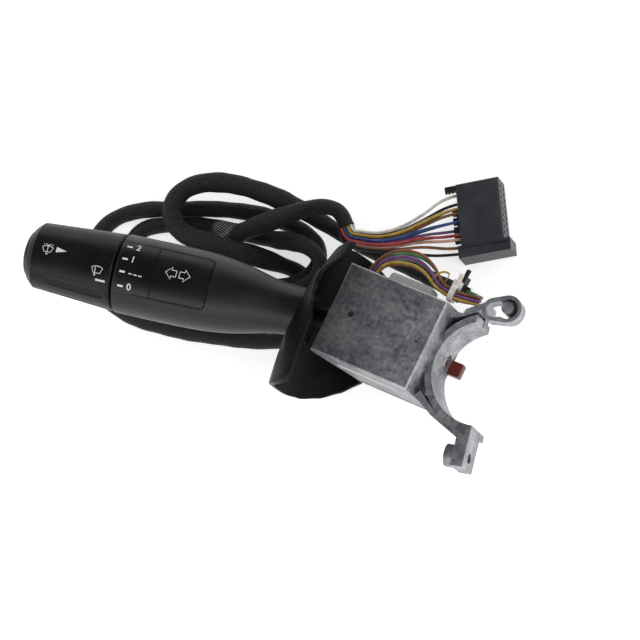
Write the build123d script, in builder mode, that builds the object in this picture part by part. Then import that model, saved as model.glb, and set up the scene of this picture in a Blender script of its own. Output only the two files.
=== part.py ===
from build123d import *
import os
from math import asin, cos, degrees, pi, radians, sin, tan

# Combination stalk switch with its steering-column clamp and harness.
# Millimetres. The origin is the centre of the column clamp, +Z runs up the column to the driver,
# and -X runs from the column along the stalk.

# ---------------------------------------------------------------- driving dimensions
# column clamp saddle
COLUMN_RADIUS = 25.0
SADDLE_WALL = 3.3
SADDLE_DEPTH = 21.0
SADDLE_END_X = -9.4  # the upper end of the saddle stops beside the strap lug

# switch housing, in its own (u, v, z) frame: u away from the stalk, v across
HOUSING_TURN = 13.0  # degrees that the housing is turned about the column
HOUSING_GAP = 1.5  # from the column to the housing's end wall
HOUSING_LENGTH = 53.0
HOUSING_WIDTH = 45.0
HOUSING_TOP = 21.5
HOUSING_BOTTOM = -12.5
CAST_WALL = 2.6
DRAFT = 0.5
EDGE_ROUND = 1.0

# lever
SWEEP = 12.4  # degrees between the lever and the housing, seen along the column
RISE = 12.4  # degrees that the lever rises towards the driver
PIVOT_FROM_END = 11.5  # from the housing's open end to the pivots
PIVOT_HEIGHT = 1.0
TURN_SWING = 12.0
RUNNING = 0.05  # radial clearance of pins and spindles in their bores
GAP = 0.3  # clearance between pieces that move past each other

# stalk, by distance from the pivots along its axis
NECK_START = 26.0
NECK_RADIUS = 12.0
BODY_FULL = 80.0
BODY_RADIUS = 19.2
BODY_END = 119.5
KNOB_START = 121.0
KNOB_LENGTH = 44.0
KNOB_RADIUS = 18.7
KNOB_TIP_RADIUS = 16.0
BUTTON_RADIUS = 11.0
BUTTON_STANDS = 4.0
BUTTON_TRAVEL = 3.0
SPINDLE_RADIUS = 9.0
ARM_RADIUS = 5.5
PLATE_SKIN = 1.2
PLATE_WIDTH = 26.0
PLATE_START = 74.0
PLATE_DIVIDER = 101.0
PLATE_GAP = 0.15

# cowl, a barrel about the flash axis
COWL_RADIUS = 32.5
COWL_WALL = 2.4
COWL_BELLY = 200.0
COWL_CENTRE = -5.5
COWL_LOW = -44.0
COWL_HIGH = 33.0
COWL_NEAR = 30.5
COWL_FAR = -31.2

# self-cancelling finger
FINGER_WIDTH = 7.0
FINGER_REACH = 6.2  # into the column bore
FINGER_TOP = -11.0
FINGER_THICKNESS = 4.2
FINGER_SWING = 12.0

# clamp lugs
STRAP_LUG_THICKNESS = 7.0
STRAP_SLOT_RADIUS = 3.6
STRAP_EYE_RADIUS = 4.8
STRAP_POST_RADIUS = 2.9
LUG_RING = 1.7
SCREW_LUG_THICKNESS = 6.0
SCREW_BOSS_LENGTH = 11.0
SCREW_BOSS_RADIUS = 5.3
CLAMP_THREAD_RADIUS = 2.5

# harness
SLEEVE_DIAMETER = 7.6
SWITCH_WIRE = 1.5
PLUG_WIRE = 1.5
CONNECTOR_TURN = 19.0
CONNECTOR_DEPTH = 21.4
CONNECTOR_WIDTH = 31.4
CONNECTOR_THICKNESS = 12.0
CONNECTOR_PLACE = (-32.88, 86.34, -30.0)

# ---------------------------------------------------------------- frames
HOUSING_END = -COLUMN_RADIUS - HOUSING_GAP
HOUSING_MOUTH = HOUSING_END - HOUSING_LENGTH
PIVOT_U = HOUSING_MOUTH + PIVOT_FROM_END
HALF_WIDTH = HOUSING_WIDTH / 2
U_AXIS = Vector(cos(radians(HOUSING_TURN)), -sin(radians(HOUSING_TURN)), 0)
V_AXIS = Vector(sin(radians(HOUSING_TURN)), cos(radians(HOUSING_TURN)), 0)
Z_AXIS = Vector(0, 0, 1)


def on_housing(u, v, z):
    """A point of the housing's frame as a point of the part."""
    return U_AXIS * u + V_AXIS * v + Z_AXIS * z


PIVOT = on_housing(PIVOT_U, 0, PIVOT_HEIGHT)
OUTWARD = (U_AXIS * -cos(radians(SWEEP)) - V_AXIS * sin(radians(SWEEP))) * cos(radians(RISE))
OUTWARD = OUTWARD + Z_AXIS * sin(radians(RISE))
FLOOR = Plane(origin=(0, 0, 0), x_dir=U_AXIS, z_dir=Z_AXIS)
ACROSS = Plane(origin=PIVOT, x_dir=U_AXIS, z_dir=V_AXIS * -1)  # u to the right, z up
FACING = Plane(origin=PIVOT, x_dir=V_AXIS * -1, z_dir=U_AXIS * -1)  # -v to the right, z up
BESIDE = Plane(origin=(0, 0, 0), x_dir=U_AXIS * -1, z_dir=V_AXIS)  # -u to the right, z up
UNDER = Plane(origin=PIVOT, x_dir=V_AXIS * -1, z_dir=Z_AXIS * -1)  # -v to the right, -u up
STALK = Plane(origin=PIVOT, x_dir=Z_AXIS.cross(OUTWARD), z_dir=OUTWARD)
STALK_TOP = STALK.y_dir  # square to the stalk, towards the driver
SECTION = Plane(origin=PIVOT, x_dir=OUTWARD, z_dir=OUTWARD.cross(STALK_TOP))
PLAN = Plane(origin=PIVOT, x_dir=OUTWARD, z_dir=STALK_TOP)


def stalk_plane(distance):
    """The plane square to the stalk at a distance from the pivots."""
    return STALK.offset(distance)


def save(part, name):
    part.label = name
    export_step(part, f"parts/{name}.step")


os.makedirs("parts", exist_ok=True)

# ---------------------------------------------------------------- housing casting
INNER_HALF = HALF_WIDTH - CAST_WALL
INNER_END = HOUSING_END - CAST_WALL
DIMPLE_FROM_END = 6.0
PAD_FROM_END = 12.1
PAD_FROM_SIDE = 8.5
STRIP_FROM_END = 12.6
STRIP_FROM_SIDE = 16.9
ROOF = HOUSING_TOP - CAST_WALL
HOUSING_HEIGHT = HOUSING_TOP - HOUSING_BOTTOM
FOOT_GROWTH = HOUSING_HEIGHT * tan(radians(DRAFT))
SADDLE_TOP = SADDLE_DEPTH / 2
SADDLE_OUTER = COLUMN_RADIUS + SADDLE_WALL
EYE_SPACING = 6.6
EYE_SLOPE = 0.2
SLOT_RUN = 3.2
SLOT_LEFT = (-2.4, COLUMN_RADIUS + LUG_RING + STRAP_SLOT_RADIUS)
SLOT_RIGHT = (SLOT_LEFT[0] + EYE_SPACING, SLOT_LEFT[1] + EYE_SPACING * EYE_SLOPE)
LUG_RADIUS = STRAP_SLOT_RADIUS + LUG_RING + 0.4
EYE_LUG_RADIUS = STRAP_EYE_RADIUS + LUG_RING
LUG_BOTTOM = SADDLE_TOP - STRAP_LUG_THICKNESS
POST_PLACE = (SLOT_RIGHT[0] - 0.4, SLOT_RIGHT[1] + 0.5)
POST_TOP = SADDLE_TOP - 0.2
EYE_FLOOR = 1.6
SCREW_PLACE = (-39.0, 3.0)  # y, z of the clamp screw
SCREW_LUG_END = SCREW_PLACE[0] - SCREW_BOSS_RADIUS - 0.4
SCREW_LUG_LOW = -5.0
ARM_RIB = 2.8
ARM_WEB_TOP = -1.0
ARM_WEB_BOTTOM = -6.0
COVER_THICKNESS = 2.0
BOSS_RADIUS = 3.4
SCREW_CORE = 1.25
SCREW_FROM_SIDE = 4.5
SCREW_FROM_END = 7.1
SCREW_SPACING = 27.4
NEAR_SCREW_U = HOUSING_END - SCREW_FROM_END
FAR_SCREW_U = NEAR_SCREW_U - SCREW_SPACING
SCREW_V = HALF_WIDTH - SCREW_FROM_SIDE
COVER_SCREWS = [(NEAR_SCREW_U, SCREW_V), (NEAR_SCREW_U, -SCREW_V), (FAR_SCREW_U, SCREW_V), (FAR_SCREW_U, -SCREW_V)]
JOURNAL_RADIUS = 1.6
LOWER_JOURNAL_RADIUS = 3.0
CAM_INNER = 24.45
CAM_DEPTH = 4.5
CAM_BOTTOM = -3.0
NOTCH_RADIUS = 1.6
FINGER_PIVOT_U = HOUSING_END - 6.5
FINGER_BOTTOM = FINGER_TOP - FINGER_THICKNESS
FINGER_SLOT = FINGER_WIDTH / 2 + 2.2
OUTLET_LENGTH = 7.8
OUTLET_HEIGHT = 8.2
OUTLET_CLEAR = 0.15
OUTLET_PLACE = (-75.2, 3.4)  # u, z of its middle
OUTLET_PROUD = 1.05
OUTLET_STANDS = HALF_WIDTH + OUTLET_PROUD  # v of the face that the wires leave
GUIDE_PIN_RADIUS = 2.0
GUIDE_PIN_HEIGHT = -6.0
RECESS_RADIUS = 3.9
BODY_MIDDLE = (HOUSING_MOUTH + HOUSING_END) / 2

with BuildPart() as housing:
    # box, drafted towards the driver
    with BuildSketch(FLOOR.offset(HOUSING_BOTTOM)):
        with Locations((BODY_MIDDLE, 0)):
            Rectangle(HOUSING_LENGTH, HOUSING_WIDTH + 2 * FOOT_GROWTH)
    extrude(amount=HOUSING_HEIGHT, taper=DRAFT)
    top_rim = housing.faces().sort_by(Axis.Z)[-1].edges()
    chamfer(top_rim, EDGE_ROUND * 0.7)
    # clamp saddle
    with BuildSketch(Plane.XY.offset(-SADDLE_TOP)):
        Circle(SADDLE_OUTER)
        with Locations((SADDLE_END_X + SADDLE_OUTER, SADDLE_OUTER)):
            Rectangle(2 * SADDLE_OUTER, 2 * SADDLE_OUTER, mode=Mode.SUBTRACT)
        with Locations((SADDLE_OUTER, 0)):
            Rectangle(2 * SADDLE_OUTER, 4 * SADDLE_OUTER, mode=Mode.SUBTRACT)
    extrude(amount=SADDLE_DEPTH)
    # webs of the two arms, set back from the saddle's face
    with BuildSketch(Plane.XY.offset(ARM_WEB_BOTTOM)):
        with BuildLine():
            Polyline((-22.0, 26.0), (-9.0, 30.5), (-9.0, 24.0), (-24.0, 8.0), (-22.0, 26.0))
        make_face()
        with BuildLine():
            Polyline((-30.0, -14.0), (-20.0, -23.5), (-5.0, -31.0), (-5.0, -25.0), (-26.0, -8.0), (-30.0, -14.0))
        make_face()
    extrude(amount=ARM_WEB_TOP - ARM_WEB_BOTTOM)
    # rib of the upper arm
    with BuildSketch(Plane.XY.offset(ARM_WEB_BOTTOM)):
        with BuildLine():
            Polyline((-23.0, 27.0), (-16.6, 26.4), (-15.6, 28.6), (-6.4, 33.6), (-6.4, 33.6 - ARM_RIB * 1.2),
                     (-15.0, 25.6), (-23.6, 23.0), (-23.0, 27.0))
        make_face()
    extrude(amount=SADDLE_TOP - ARM_WEB_BOTTOM)
    # rib and lug of the lower arm
    with BuildSketch(Plane.XY.offset(SCREW_LUG_LOW)):
        with BuildLine():
            Polyline((-30.5, -15.5), (-20.4, -23.6), (-12.8, -27.8), (-SCREW_LUG_THICKNESS, -31.6),
                     (-SCREW_LUG_THICKNESS, SCREW_LUG_END), (0, SCREW_LUG_END), (0, -26.8), (-1.2, -25.4),
                     (-SCREW_LUG_THICKNESS, -25.0), (-14.0, -24.8), (-19.4, -21.2), (-28.0, -13.0),
                     (-30.5, -15.5))
        make_face()
    extrude(amount=SADDLE_TOP - SCREW_LUG_LOW)
    with BuildSketch(Plane.YZ.offset(-SCREW_BOSS_LENGTH)):
        with Locations(SCREW_PLACE):
            Circle(SCREW_BOSS_RADIUS)
    extrude(amount=SCREW_BOSS_LENGTH)
    # strap lug: an eye and a slot in one ring
    with BuildSketch(Plane.XY.offset(LUG_BOTTOM)):
        with Locations(SLOT_LEFT):
            Circle(LUG_RADIUS)
        with Locations(SLOT_RIGHT):
            Circle(EYE_LUG_RADIUS)
        make_hull()
    extrude(amount=STRAP_LUG_THICKNESS)
    # cavity, open at the end where the lever goes in and below
    with BuildSketch(FLOOR.offset(HOUSING_BOTTOM)):
        with Locations(((HOUSING_MOUTH - 10 + INNER_END) / 2, 0)):
            Rectangle(INNER_END - HOUSING_MOUTH + 10, 2 * INNER_HALF)
    extrude(amount=ROOF - HOUSING_BOTTOM, mode=Mode.SUBTRACT)
    # side wall cut back at the lever's end
    with BuildSketch(ACROSS.offset(HALF_WIDTH - CAST_WALL - 1)):
        with BuildLine():
            Polyline((-20.0, 13.0), (-PIVOT_FROM_END, 13.0), (2.0, -13.5), (2.0, -30.0), (-20.0, -30.0), (-20.0, 13.0))
        make_face()
    extrude(amount=CAST_WALL + 3, mode=Mode.SUBTRACT)
    # bosses for the cover screws
    with BuildSketch(FLOOR.offset(HOUSING_BOTTOM)):
        with Locations(*COVER_SCREWS):
            Circle(BOSS_RADIUS)
    extrude(amount=ROOF - HOUSING_BOTTOM)
    with BuildSketch(FLOOR.offset(HOUSING_BOTTOM)):
        with Locations(*COVER_SCREWS):
            Circle(SCREW_CORE)
    extrude(amount=10, mode=Mode.SUBTRACT)
    # detent cam for the turn-signal positions, hung from the roof
    with BuildSketch(FLOOR.offset(CAM_BOTTOM)):
        with Locations((PIVOT_U, 0)):
            Circle(CAM_INNER + CAM_DEPTH)
            Circle(CAM_INNER, mode=Mode.SUBTRACT)
            for swing in (-TURN_SWING, 0, TURN_SWING):
                with Locations((CAM_INNER * cos(radians(swing)), CAM_INNER * sin(radians(swing)))):
                    Circle(NOTCH_RADIUS, mode=Mode.SUBTRACT)
        with Locations((PIVOT_U + CAM_INNER, 0)):
            Rectangle(20, 24, mode=Mode.INTERSECT)
    extrude(amount=ROOF - CAM_BOTTOM)
    # upper journal of the lever carrier, seen as a small hole in the face
    with BuildSketch(FLOOR.offset(ROOF - 1)):
        with Locations((PIVOT_U, 0)):
            Circle(JOURNAL_RADIUS + RUNNING)
    extrude(amount=CAST_WALL + 2, mode=Mode.SUBTRACT)
    # a second small dimple, and the raised pads of the face
    with BuildSketch(FLOOR.offset(HOUSING_TOP - 0.8)):
        with Locations((HOUSING_END - DIMPLE_FROM_END, 0)):
            Circle(1.1)
    extrude(amount=2, mode=Mode.SUBTRACT)
    with BuildSketch(FLOOR.offset(HOUSING_TOP)):
        with Locations((HOUSING_END - PAD_FROM_END, HALF_WIDTH - PAD_FROM_SIDE)):
            RectangleRounded(13.0, 7.6, 0.8)
        with Locations((HOUSING_END - STRIP_FROM_END, STRIP_FROM_SIDE - HALF_WIDTH)):
            RectangleRounded(4.8, 26.0, 0.6)
    extrude(amount=0.35)
    # column bore
    with BuildSketch(Plane.XY.offset(HOUSING_BOTTOM - 5)):
        Circle(COLUMN_RADIUS)
    extrude(amount=HOUSING_HEIGHT + 12, mode=Mode.SUBTRACT)
    # slot of the cancelling finger under the saddle, and the recess of its guide pin
    with BuildSketch(FLOOR.offset(HOUSING_BOTTOM - 1)):
        with Locations((HOUSING_END - 1, 0)):
            Rectangle(2 * CAST_WALL + 4, 2 * FINGER_SLOT)
    extrude(amount=FINGER_TOP + GAP - HOUSING_BOTTOM + 1, mode=Mode.SUBTRACT)
    guide_axis = Plane(origin=on_housing(-COLUMN_RADIUS - 1.6, 0, GUIDE_PIN_HEIGHT), x_dir=V_AXIS, z_dir=U_AXIS)
    with BuildSketch(guide_axis):
        Circle(RECESS_RADIUS)
    extrude(amount=3, mode=Mode.SUBTRACT)
    with BuildSketch(guide_axis):
        Circle(GUIDE_PIN_RADIUS + RUNNING)
    extrude(amount=-CAST_WALL - 3, mode=Mode.SUBTRACT)
    # notch in the side wall for the cable outlet
    with BuildSketch(BESIDE):
        with Locations((-OUTLET_PLACE[0] - 4, OUTLET_PLACE[1])):
            Rectangle(OUTLET_LENGTH + 2 * OUTLET_CLEAR + 8, OUTLET_HEIGHT + 2 * OUTLET_CLEAR)
    extrude(amount=HALF_WIDTH + 3, mode=Mode.SUBTRACT)
    # strap slot, eye and post
    with BuildSketch(Plane.XY.offset(LUG_BOTTOM - 1)):
        with Locations(SLOT_LEFT, (SLOT_LEFT[0] + SLOT_RUN, SLOT_LEFT[1] + SLOT_RUN * EYE_SLOPE)):
            Circle(STRAP_SLOT_RADIUS)
        make_hull()
    extrude(amount=STRAP_LUG_THICKNESS + 2, mode=Mode.SUBTRACT)
    with BuildSketch(Plane.XY.offset(LUG_BOTTOM + EYE_FLOOR)):
        with Locations(SLOT_RIGHT):
            Circle(STRAP_EYE_RADIUS)
    extrude(amount=STRAP_LUG_THICKNESS, mode=Mode.SUBTRACT)
    with BuildSketch(Plane.XY.offset(LUG_BOTTOM)):
        with Locations(POST_PLACE):
            Circle(STRAP_POST_RADIUS)
    extrude(amount=POST_TOP - LUG_BOTTOM)
    # tapped hole of the clamp screw, with a lead-in
    with BuildSketch(Plane.YZ.offset(-SCREW_BOSS_LENGTH - 1)):
        with Locations(SCREW_PLACE):
            Circle(CLAMP_THREAD_RADIUS)
    extrude(amount=SCREW_BOSS_LENGTH + 2, mode=Mode.SUBTRACT)
save(housing.part, "housing")

# ---------------------------------------------------------------- back cover, its screws and the outlet
COVER_RIM = HOUSING_BOTTOM - FINGER_BOTTOM + GAP
COVER_BOTTOM = HOUSING_BOTTOM - COVER_RIM - COVER_THICKNESS
COVER_FLOOR = COVER_BOTTOM + COVER_THICKNESS
COVER_MOUTH = PIVOT_U + 2.0  # where the slanted side walls end
TONGUE_END = PIVOT_U - 9.0
TONGUE_WIDTH = 26.0
COLUMN_CLEAR = 0.6
SCREW_SHANK = SCREW_CORE - RUNNING
SCREW_HEAD_RADIUS = 2.6
SCREW_HEAD_HEIGHT = 1.6
SCREW_LENGTH = 9.5
FINGER_PIN_RADIUS = 1.5
FINGER_HUB_RADIUS = 3.4
FINGER_PLACE = (FINGER_PIVOT_U, -0.5)
JOURNAL_BOSS_RADIUS = 5.6
JOURNAL_BOSS_TOP = HOUSING_BOTTOM - GAP
COVER_MIDDLE = (COVER_MOUTH + HOUSING_END) / 2
COVER_WIDTH = HOUSING_WIDTH + 2 * FOOT_GROWTH

with BuildPart() as back_cover:
    with BuildSketch(FLOOR.offset(COVER_BOTTOM)):
        with Locations((COVER_MIDDLE, 0)):
            Rectangle(HOUSING_END - COVER_MOUTH, COVER_WIDTH)
        with Locations(((TONGUE_END + COVER_MIDDLE) / 2, 0)):
            RectangleRounded(COVER_MIDDLE - TONGUE_END, TONGUE_WIDTH, 5.0)
    extrude(amount=COVER_THICKNESS)
    bottom_rim = back_cover.faces().sort_by(Axis.Z)[0].edges()
    chamfer(bottom_rim, 0.6)
    with BuildSketch(FLOOR.offset(COVER_FLOOR)):
        with Locations((COVER_MIDDLE, 0)):
            Rectangle(HOUSING_END - COVER_MOUTH, COVER_WIDTH)
            Rectangle(HOUSING_END - COVER_MOUTH - 2 * CAST_WALL, COVER_WIDTH - 2 * CAST_WALL, mode=Mode.SUBTRACT)
        with Locations((COVER_MOUTH, 0)):
            Rectangle(3 * CAST_WALL, TONGUE_WIDTH + 2, mode=Mode.SUBTRACT)
        with Locations(*COVER_SCREWS):
            Circle(BOSS_RADIUS)
    extrude(amount=COVER_RIM)
    with BuildSketch(FLOOR.offset(COVER_FLOOR)):
        with Locations((PIVOT_U, 0)):
            Circle(JOURNAL_BOSS_RADIUS)
    extrude(amount=JOURNAL_BOSS_TOP - COVER_FLOOR)
    # bores for the journal, the finger's pin and the screws
    with BuildSketch(FLOOR.offset(COVER_BOTTOM)):
        with Locations((PIVOT_U, 0)):
            Circle(LOWER_JOURNAL_RADIUS + RUNNING)
        with Locations(FINGER_PLACE):
            Circle(FINGER_PIN_RADIUS + RUNNING)
        with Locations(*COVER_SCREWS):
            Circle(SCREW_CORE + 0.2)
    extrude(amount=20, mode=Mode.SUBTRACT)
    with BuildSketch(FLOOR.offset(COVER_BOTTOM)):
        with Locations(*COVER_SCREWS):
            Circle(SCREW_HEAD_RADIUS + GAP)
    extrude(amount=SCREW_HEAD_HEIGHT, mode=Mode.SUBTRACT)
    # slot for the finger and clearance round the column
    with BuildSketch(FLOOR.offset(COVER_FLOOR)):
        with Locations((HOUSING_END - 1, 0)):
            Rectangle(2 * CAST_WALL + 4, 2 * FINGER_SLOT)
    extrude(amount=COVER_RIM + 1, mode=Mode.SUBTRACT)
    with BuildSketch(Plane.XY.offset(COVER_BOTTOM - 1)):
        Circle(COLUMN_RADIUS + COLUMN_CLEAR)
    extrude(amount=COVER_RIM + COVER_THICKNESS + 2, mode=Mode.SUBTRACT)
save(back_cover.part, "back_cover")

for number, place in enumerate(COVER_SCREWS, start=1):
    with BuildPart() as cover_screw:
        with BuildSketch(FLOOR.offset(COVER_BOTTOM)):
            with Locations(place):
                Circle(SCREW_HEAD_RADIUS)
        extrude(amount=SCREW_HEAD_HEIGHT)
        with BuildSketch(FLOOR.offset(COVER_BOTTOM + SCREW_HEAD_HEIGHT)):
            with Locations(place):
                Circle(SCREW_SHANK)
        extrude(amount=SCREW_LENGTH)
        with BuildSketch(FLOOR.offset(COVER_BOTTOM)):
            with Locations(place):
                Rectangle(3.0, 0.7)
                Rectangle(0.7, 3.0)
        extrude(amount=SCREW_HEAD_HEIGHT * 0.6, mode=Mode.SUBTRACT)
    save(cover_screw.part, f"cover_screw_{number}")

with BuildPart() as cable_outlet:
    with BuildSketch(BESIDE.offset(INNER_HALF - GAP)):
        with Locations((-OUTLET_PLACE[0], OUTLET_PLACE[1])):
            Rectangle(OUTLET_LENGTH, OUTLET_HEIGHT)
    extrude(amount=OUTLET_STANDS - INNER_HALF + GAP)
    outer_edges = cable_outlet.faces().sort_by(Axis(origin=(0, 0, 0), direction=V_AXIS))[-1].edges()
    chamfer(outer_edges, 0.5)
    with BuildSketch(BESIDE.offset(INNER_HALF - GAP)):
        with Locations((-OUTLET_PLACE[0] - 0.8, OUTLET_PLACE[1])):
            Rectangle(OUTLET_LENGTH + 1.6, OUTLET_HEIGHT + 3.0)
    extrude(amount=-1.6)
save(cable_outlet.part, "cable_outlet")

TERMINAL_LENGTH = 24.0
TERMINAL_HEIGHT = 13.5
TERMINAL_PLACE = (-54.0, 1.6)
TERMINAL_PROUD = 5.9
TERMINAL_STANDS = HALF_WIDTH + TERMINAL_PROUD
TERMINAL_SEAT = HALF_WIDTH + FOOT_GROWTH

with BuildPart() as terminal_cover:
    with BuildSketch(BESIDE.offset(TERMINAL_SEAT)):
        with Locations((-TERMINAL_PLACE[0], TERMINAL_PLACE[1])):
            RectangleRounded(TERMINAL_LENGTH, TERMINAL_HEIGHT, 3.0)
    extrude(amount=TERMINAL_STANDS - TERMINAL_SEAT, taper=10)
    crown = terminal_cover.faces().sort_by(Axis(origin=(0, 0, 0), direction=V_AXIS))[-1].edges()
    fillet(crown, 1.6)
save(terminal_cover.part, "terminal_cover")

# ---------------------------------------------------------------- self-cancelling finger and the pin above it
with BuildPart() as cancel_finger:
    with BuildSketch(FLOOR.offset(FINGER_BOTTOM)):
        with Locations(FINGER_PLACE):
            Circle(FINGER_HUB_RADIUS)
        with Locations(((FINGER_PIVOT_U - COLUMN_RADIUS + FINGER_REACH) / 2, FINGER_PLACE[1])):
            Rectangle(FINGER_REACH - COLUMN_RADIUS - FINGER_PIVOT_U, FINGER_WIDTH)
        with Locations(FINGER_PLACE):
            Circle(FINGER_PIN_RADIUS + RUNNING, mode=Mode.SUBTRACT)
    extrude(amount=FINGER_THICKNESS)
    nose = cancel_finger.faces().sort_by(Axis(origin=(0, 0, 0), direction=U_AXIS))[-1].edges()
    chamfer(nose, 0.5)
save(cancel_finger.part, "cancel_finger")

with BuildPart() as finger_pin:
    with BuildSketch(FLOOR.offset(COVER_BOTTOM + 0.2)):
        with Locations(FINGER_PLACE):
            Circle(FINGER_PIN_RADIUS)
    extrude(amount=FINGER_TOP + GAP - COVER_BOTTOM - 0.2)
    with BuildSketch(FLOOR.offset(FINGER_TOP + GAP)):
        with Locations(FINGER_PLACE):
            Circle(FINGER_PIN_RADIUS + 1.0)
    extrude(amount=0.9)
save(finger_pin.part, "finger_pin")

with BuildPart() as guide_pin:
    with BuildSketch(guide_axis):
        Circle(GUIDE_PIN_RADIUS)
    extrude(amount=1.2)
    extrude(guide_pin.faces().sort_by(Axis(origin=(0, 0, 0), direction=U_AXIS))[0], amount=CAST_WALL + 1.8)
    tips = guide_pin.edges().filter_by(GeomType.CIRCLE)
    chamfer(tips, 0.3)
save(guide_pin.part, "guide_pin")

# ---------------------------------------------------------------- lever carrier and detent
CARRIER_SIDE = 22.0
CARRIER_TOP = ROOF - GAP
CARRIER_BOTTOM = HOUSING_BOTTOM + GAP
HUB_HALF = 5.7
HUB_RADIUS = 7.0
SLOT_BOTTOM = -8.5  # of the carrier's slot, from the pivots
SLOT_TOP = 11.5
FLASH_PIN_RADIUS = 2.0
PLUNGER_RADIUS = 1.9
PLUNGER_HEIGHT = 14.5
PLUNGER_BACK = 5.0
PLUNGER_TIP = CAM_INNER - 0.25
SPRING_WIRE = 0.25
SPRING_LENGTH = 7.0
LEAN_WIDTH = ARM_RADIUS / cos(radians(SWEEP)) + GAP
LEAN_GROWTH = CARRIER_SIDE * tan(radians(SWEEP))
DETENT = Plane(origin=PIVOT + Z_AXIS * PLUNGER_HEIGHT, x_dir=V_AXIS, z_dir=U_AXIS)

with BuildPart() as carrier:
    with BuildSketch(FLOOR.offset(CARRIER_BOTTOM)):
        with Locations((PIVOT_U, 0)):
            Rectangle(CARRIER_SIDE, CARRIER_SIDE)
    extrude(amount=CARRIER_TOP - CARRIER_BOTTOM)
    uprights = carrier.edges().filter_by(Axis.Z)
    chamfer(uprights, 2.0)
    with BuildSketch(ACROSS):
        with Locations((0, (SLOT_TOP + SLOT_BOTTOM) / 2)):
            Rectangle(CARRIER_SIDE + 2, SLOT_TOP - SLOT_BOTTOM)
    extrude(amount=HUB_HALF + GAP, both=True, mode=Mode.SUBTRACT)
    # the slot widens on the side that the lever leans to
    with BuildSketch(FLOOR.offset(PIVOT_HEIGHT + SLOT_BOTTOM)):
        with BuildLine():
            Polyline((PIVOT_U, 0), (PIVOT_U - CARRIER_SIDE, 0), (PIVOT_U - CARRIER_SIDE, -LEAN_WIDTH - LEAN_GROWTH),
                     (PIVOT_U, -LEAN_WIDTH), (PIVOT_U, 0))
        make_face()
    extrude(amount=SLOT_TOP - SLOT_BOTTOM, mode=Mode.SUBTRACT)
    with BuildSketch(ACROSS):
        Circle(FLASH_PIN_RADIUS + RUNNING / 2)
    extrude(amount=CARRIER_SIDE, both=True, mode=Mode.SUBTRACT)
    with BuildSketch(FLOOR.offset(CARRIER_TOP)):
        with Locations((PIVOT_U, 0)):
            Circle(JOURNAL_RADIUS)
    extrude(amount=HOUSING_TOP - 0.8 - CARRIER_TOP)
    with BuildSketch(FLOOR.offset(CARRIER_BOTTOM)):
        with Locations((PIVOT_U, 0)):
            Circle(LOWER_JOURNAL_RADIUS)
    extrude(amount=COVER_BOTTOM + 0.3 - CARRIER_BOTTOM)
    with BuildSketch(DETENT.offset(PLUNGER_BACK - SPRING_LENGTH)):
        Circle(PLUNGER_RADIUS + RUNNING)
    extrude(amount=CARRIER_SIDE, mode=Mode.SUBTRACT)
save(carrier.part, "carrier")

with BuildPart() as flash_pin:
    with BuildSketch(ACROSS):
        Circle(FLASH_PIN_RADIUS)
    extrude(amount=CARRIER_SIDE / 2 - 0.3, both=True)
save(flash_pin.part, "flash_pin")

with BuildPart() as detent_plunger:
    with BuildSketch(DETENT.offset(PLUNGER_BACK)):
        Circle(PLUNGER_RADIUS)
    extrude(amount=PLUNGER_TIP - PLUNGER_BACK)
    tip = detent_plunger.faces().sort_by(Axis(origin=(0, 0, 0), direction=U_AXIS))[-1].edges()
    fillet(tip, PLUNGER_RADIUS * 0.75)
save(detent_plunger.part, "detent_plunger")

with BuildPart() as detent_spring:
    with BuildLine() as coil:
        Helix(pitch=1.3, height=SPRING_LENGTH - 2 * SPRING_WIRE - 0.1, radius=PLUNGER_RADIUS * 0.65, direction=U_AXIS,
              center=DETENT.origin + U_AXIS * (PLUNGER_BACK - SPRING_LENGTH + SPRING_WIRE + 0.05))
    with BuildSketch(Plane(origin=coil.line @ 0, z_dir=coil.line % 0)):
        Circle(SPRING_WIRE)
    sweep(is_frenet=True)
save(detent_spring.part, "detent_spring")

# ---------------------------------------------------------------- stalk
BODY_WALL = 2.8
CAVITY_START = 56.0
NECK_END = COWL_RADIUS + 4.5
FLANGE_START = 112.5
FLANGE_END = 116.5
SPINDLE_END = 148.0
LEVER_AXIS = Axis(origin=PIVOT, direction=OUTWARD)


def stalk_outline(inset):
    """Half section of the stalk's body, drawn along its axis, with its skin moved in by inset."""
    with BuildSketch() as outline:
        with BuildLine():
            Line((NECK_START, 0), (NECK_START, NECK_RADIUS - inset))
            Line((NECK_START, NECK_RADIUS - inset), (NECK_END, NECK_RADIUS - inset))
            Spline((NECK_END, NECK_RADIUS - inset), (56.0, 15.7 - inset), (BODY_FULL, BODY_RADIUS - 0.3 - inset),
                   tangents=((1, 0.06), (1, 0.05)))
            ThreePointArc((BODY_FULL, BODY_RADIUS - 0.3 - inset), ((BODY_FULL + BODY_END) / 2, BODY_RADIUS - inset),
                          (BODY_END, BODY_RADIUS - 0.2 - inset))
            Polyline((BODY_END, BODY_RADIUS - 0.2 - inset), (BODY_END, 0), (NECK_START, 0))
        make_face()
    return outline.sketch


def inlay(start, finish, rounded, clear, depth):
    """A piece of the stalk's skin over its top, between two stations."""
    with BuildPart() as piece:
        with BuildSketch(SECTION):
            add(stalk_outline(0))
            add(stalk_outline(depth), mode=Mode.SUBTRACT)
        revolve(axis=LEVER_AXIS)
        with BuildSketch(PLAN):
            with Locations(((start + finish) / 2, 0)):
                Rectangle(finish - start + 2 * clear, PLATE_WIDTH + 2 * clear)
            if rounded:
                fillet(vertices().sort_by(Axis.X)[:2], 3.5 + clear)
        extrude(amount=BODY_RADIUS + 2, mode=Mode.INTERSECT)
    return piece.part


PLATES_END = BODY_END - 1.2
PLATES = [("arrow_plate", PLATE_START, PLATE_DIVIDER - PLATE_GAP, True),
          ("scale_plate", PLATE_DIVIDER + PLATE_GAP, PLATES_END, False)]

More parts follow.
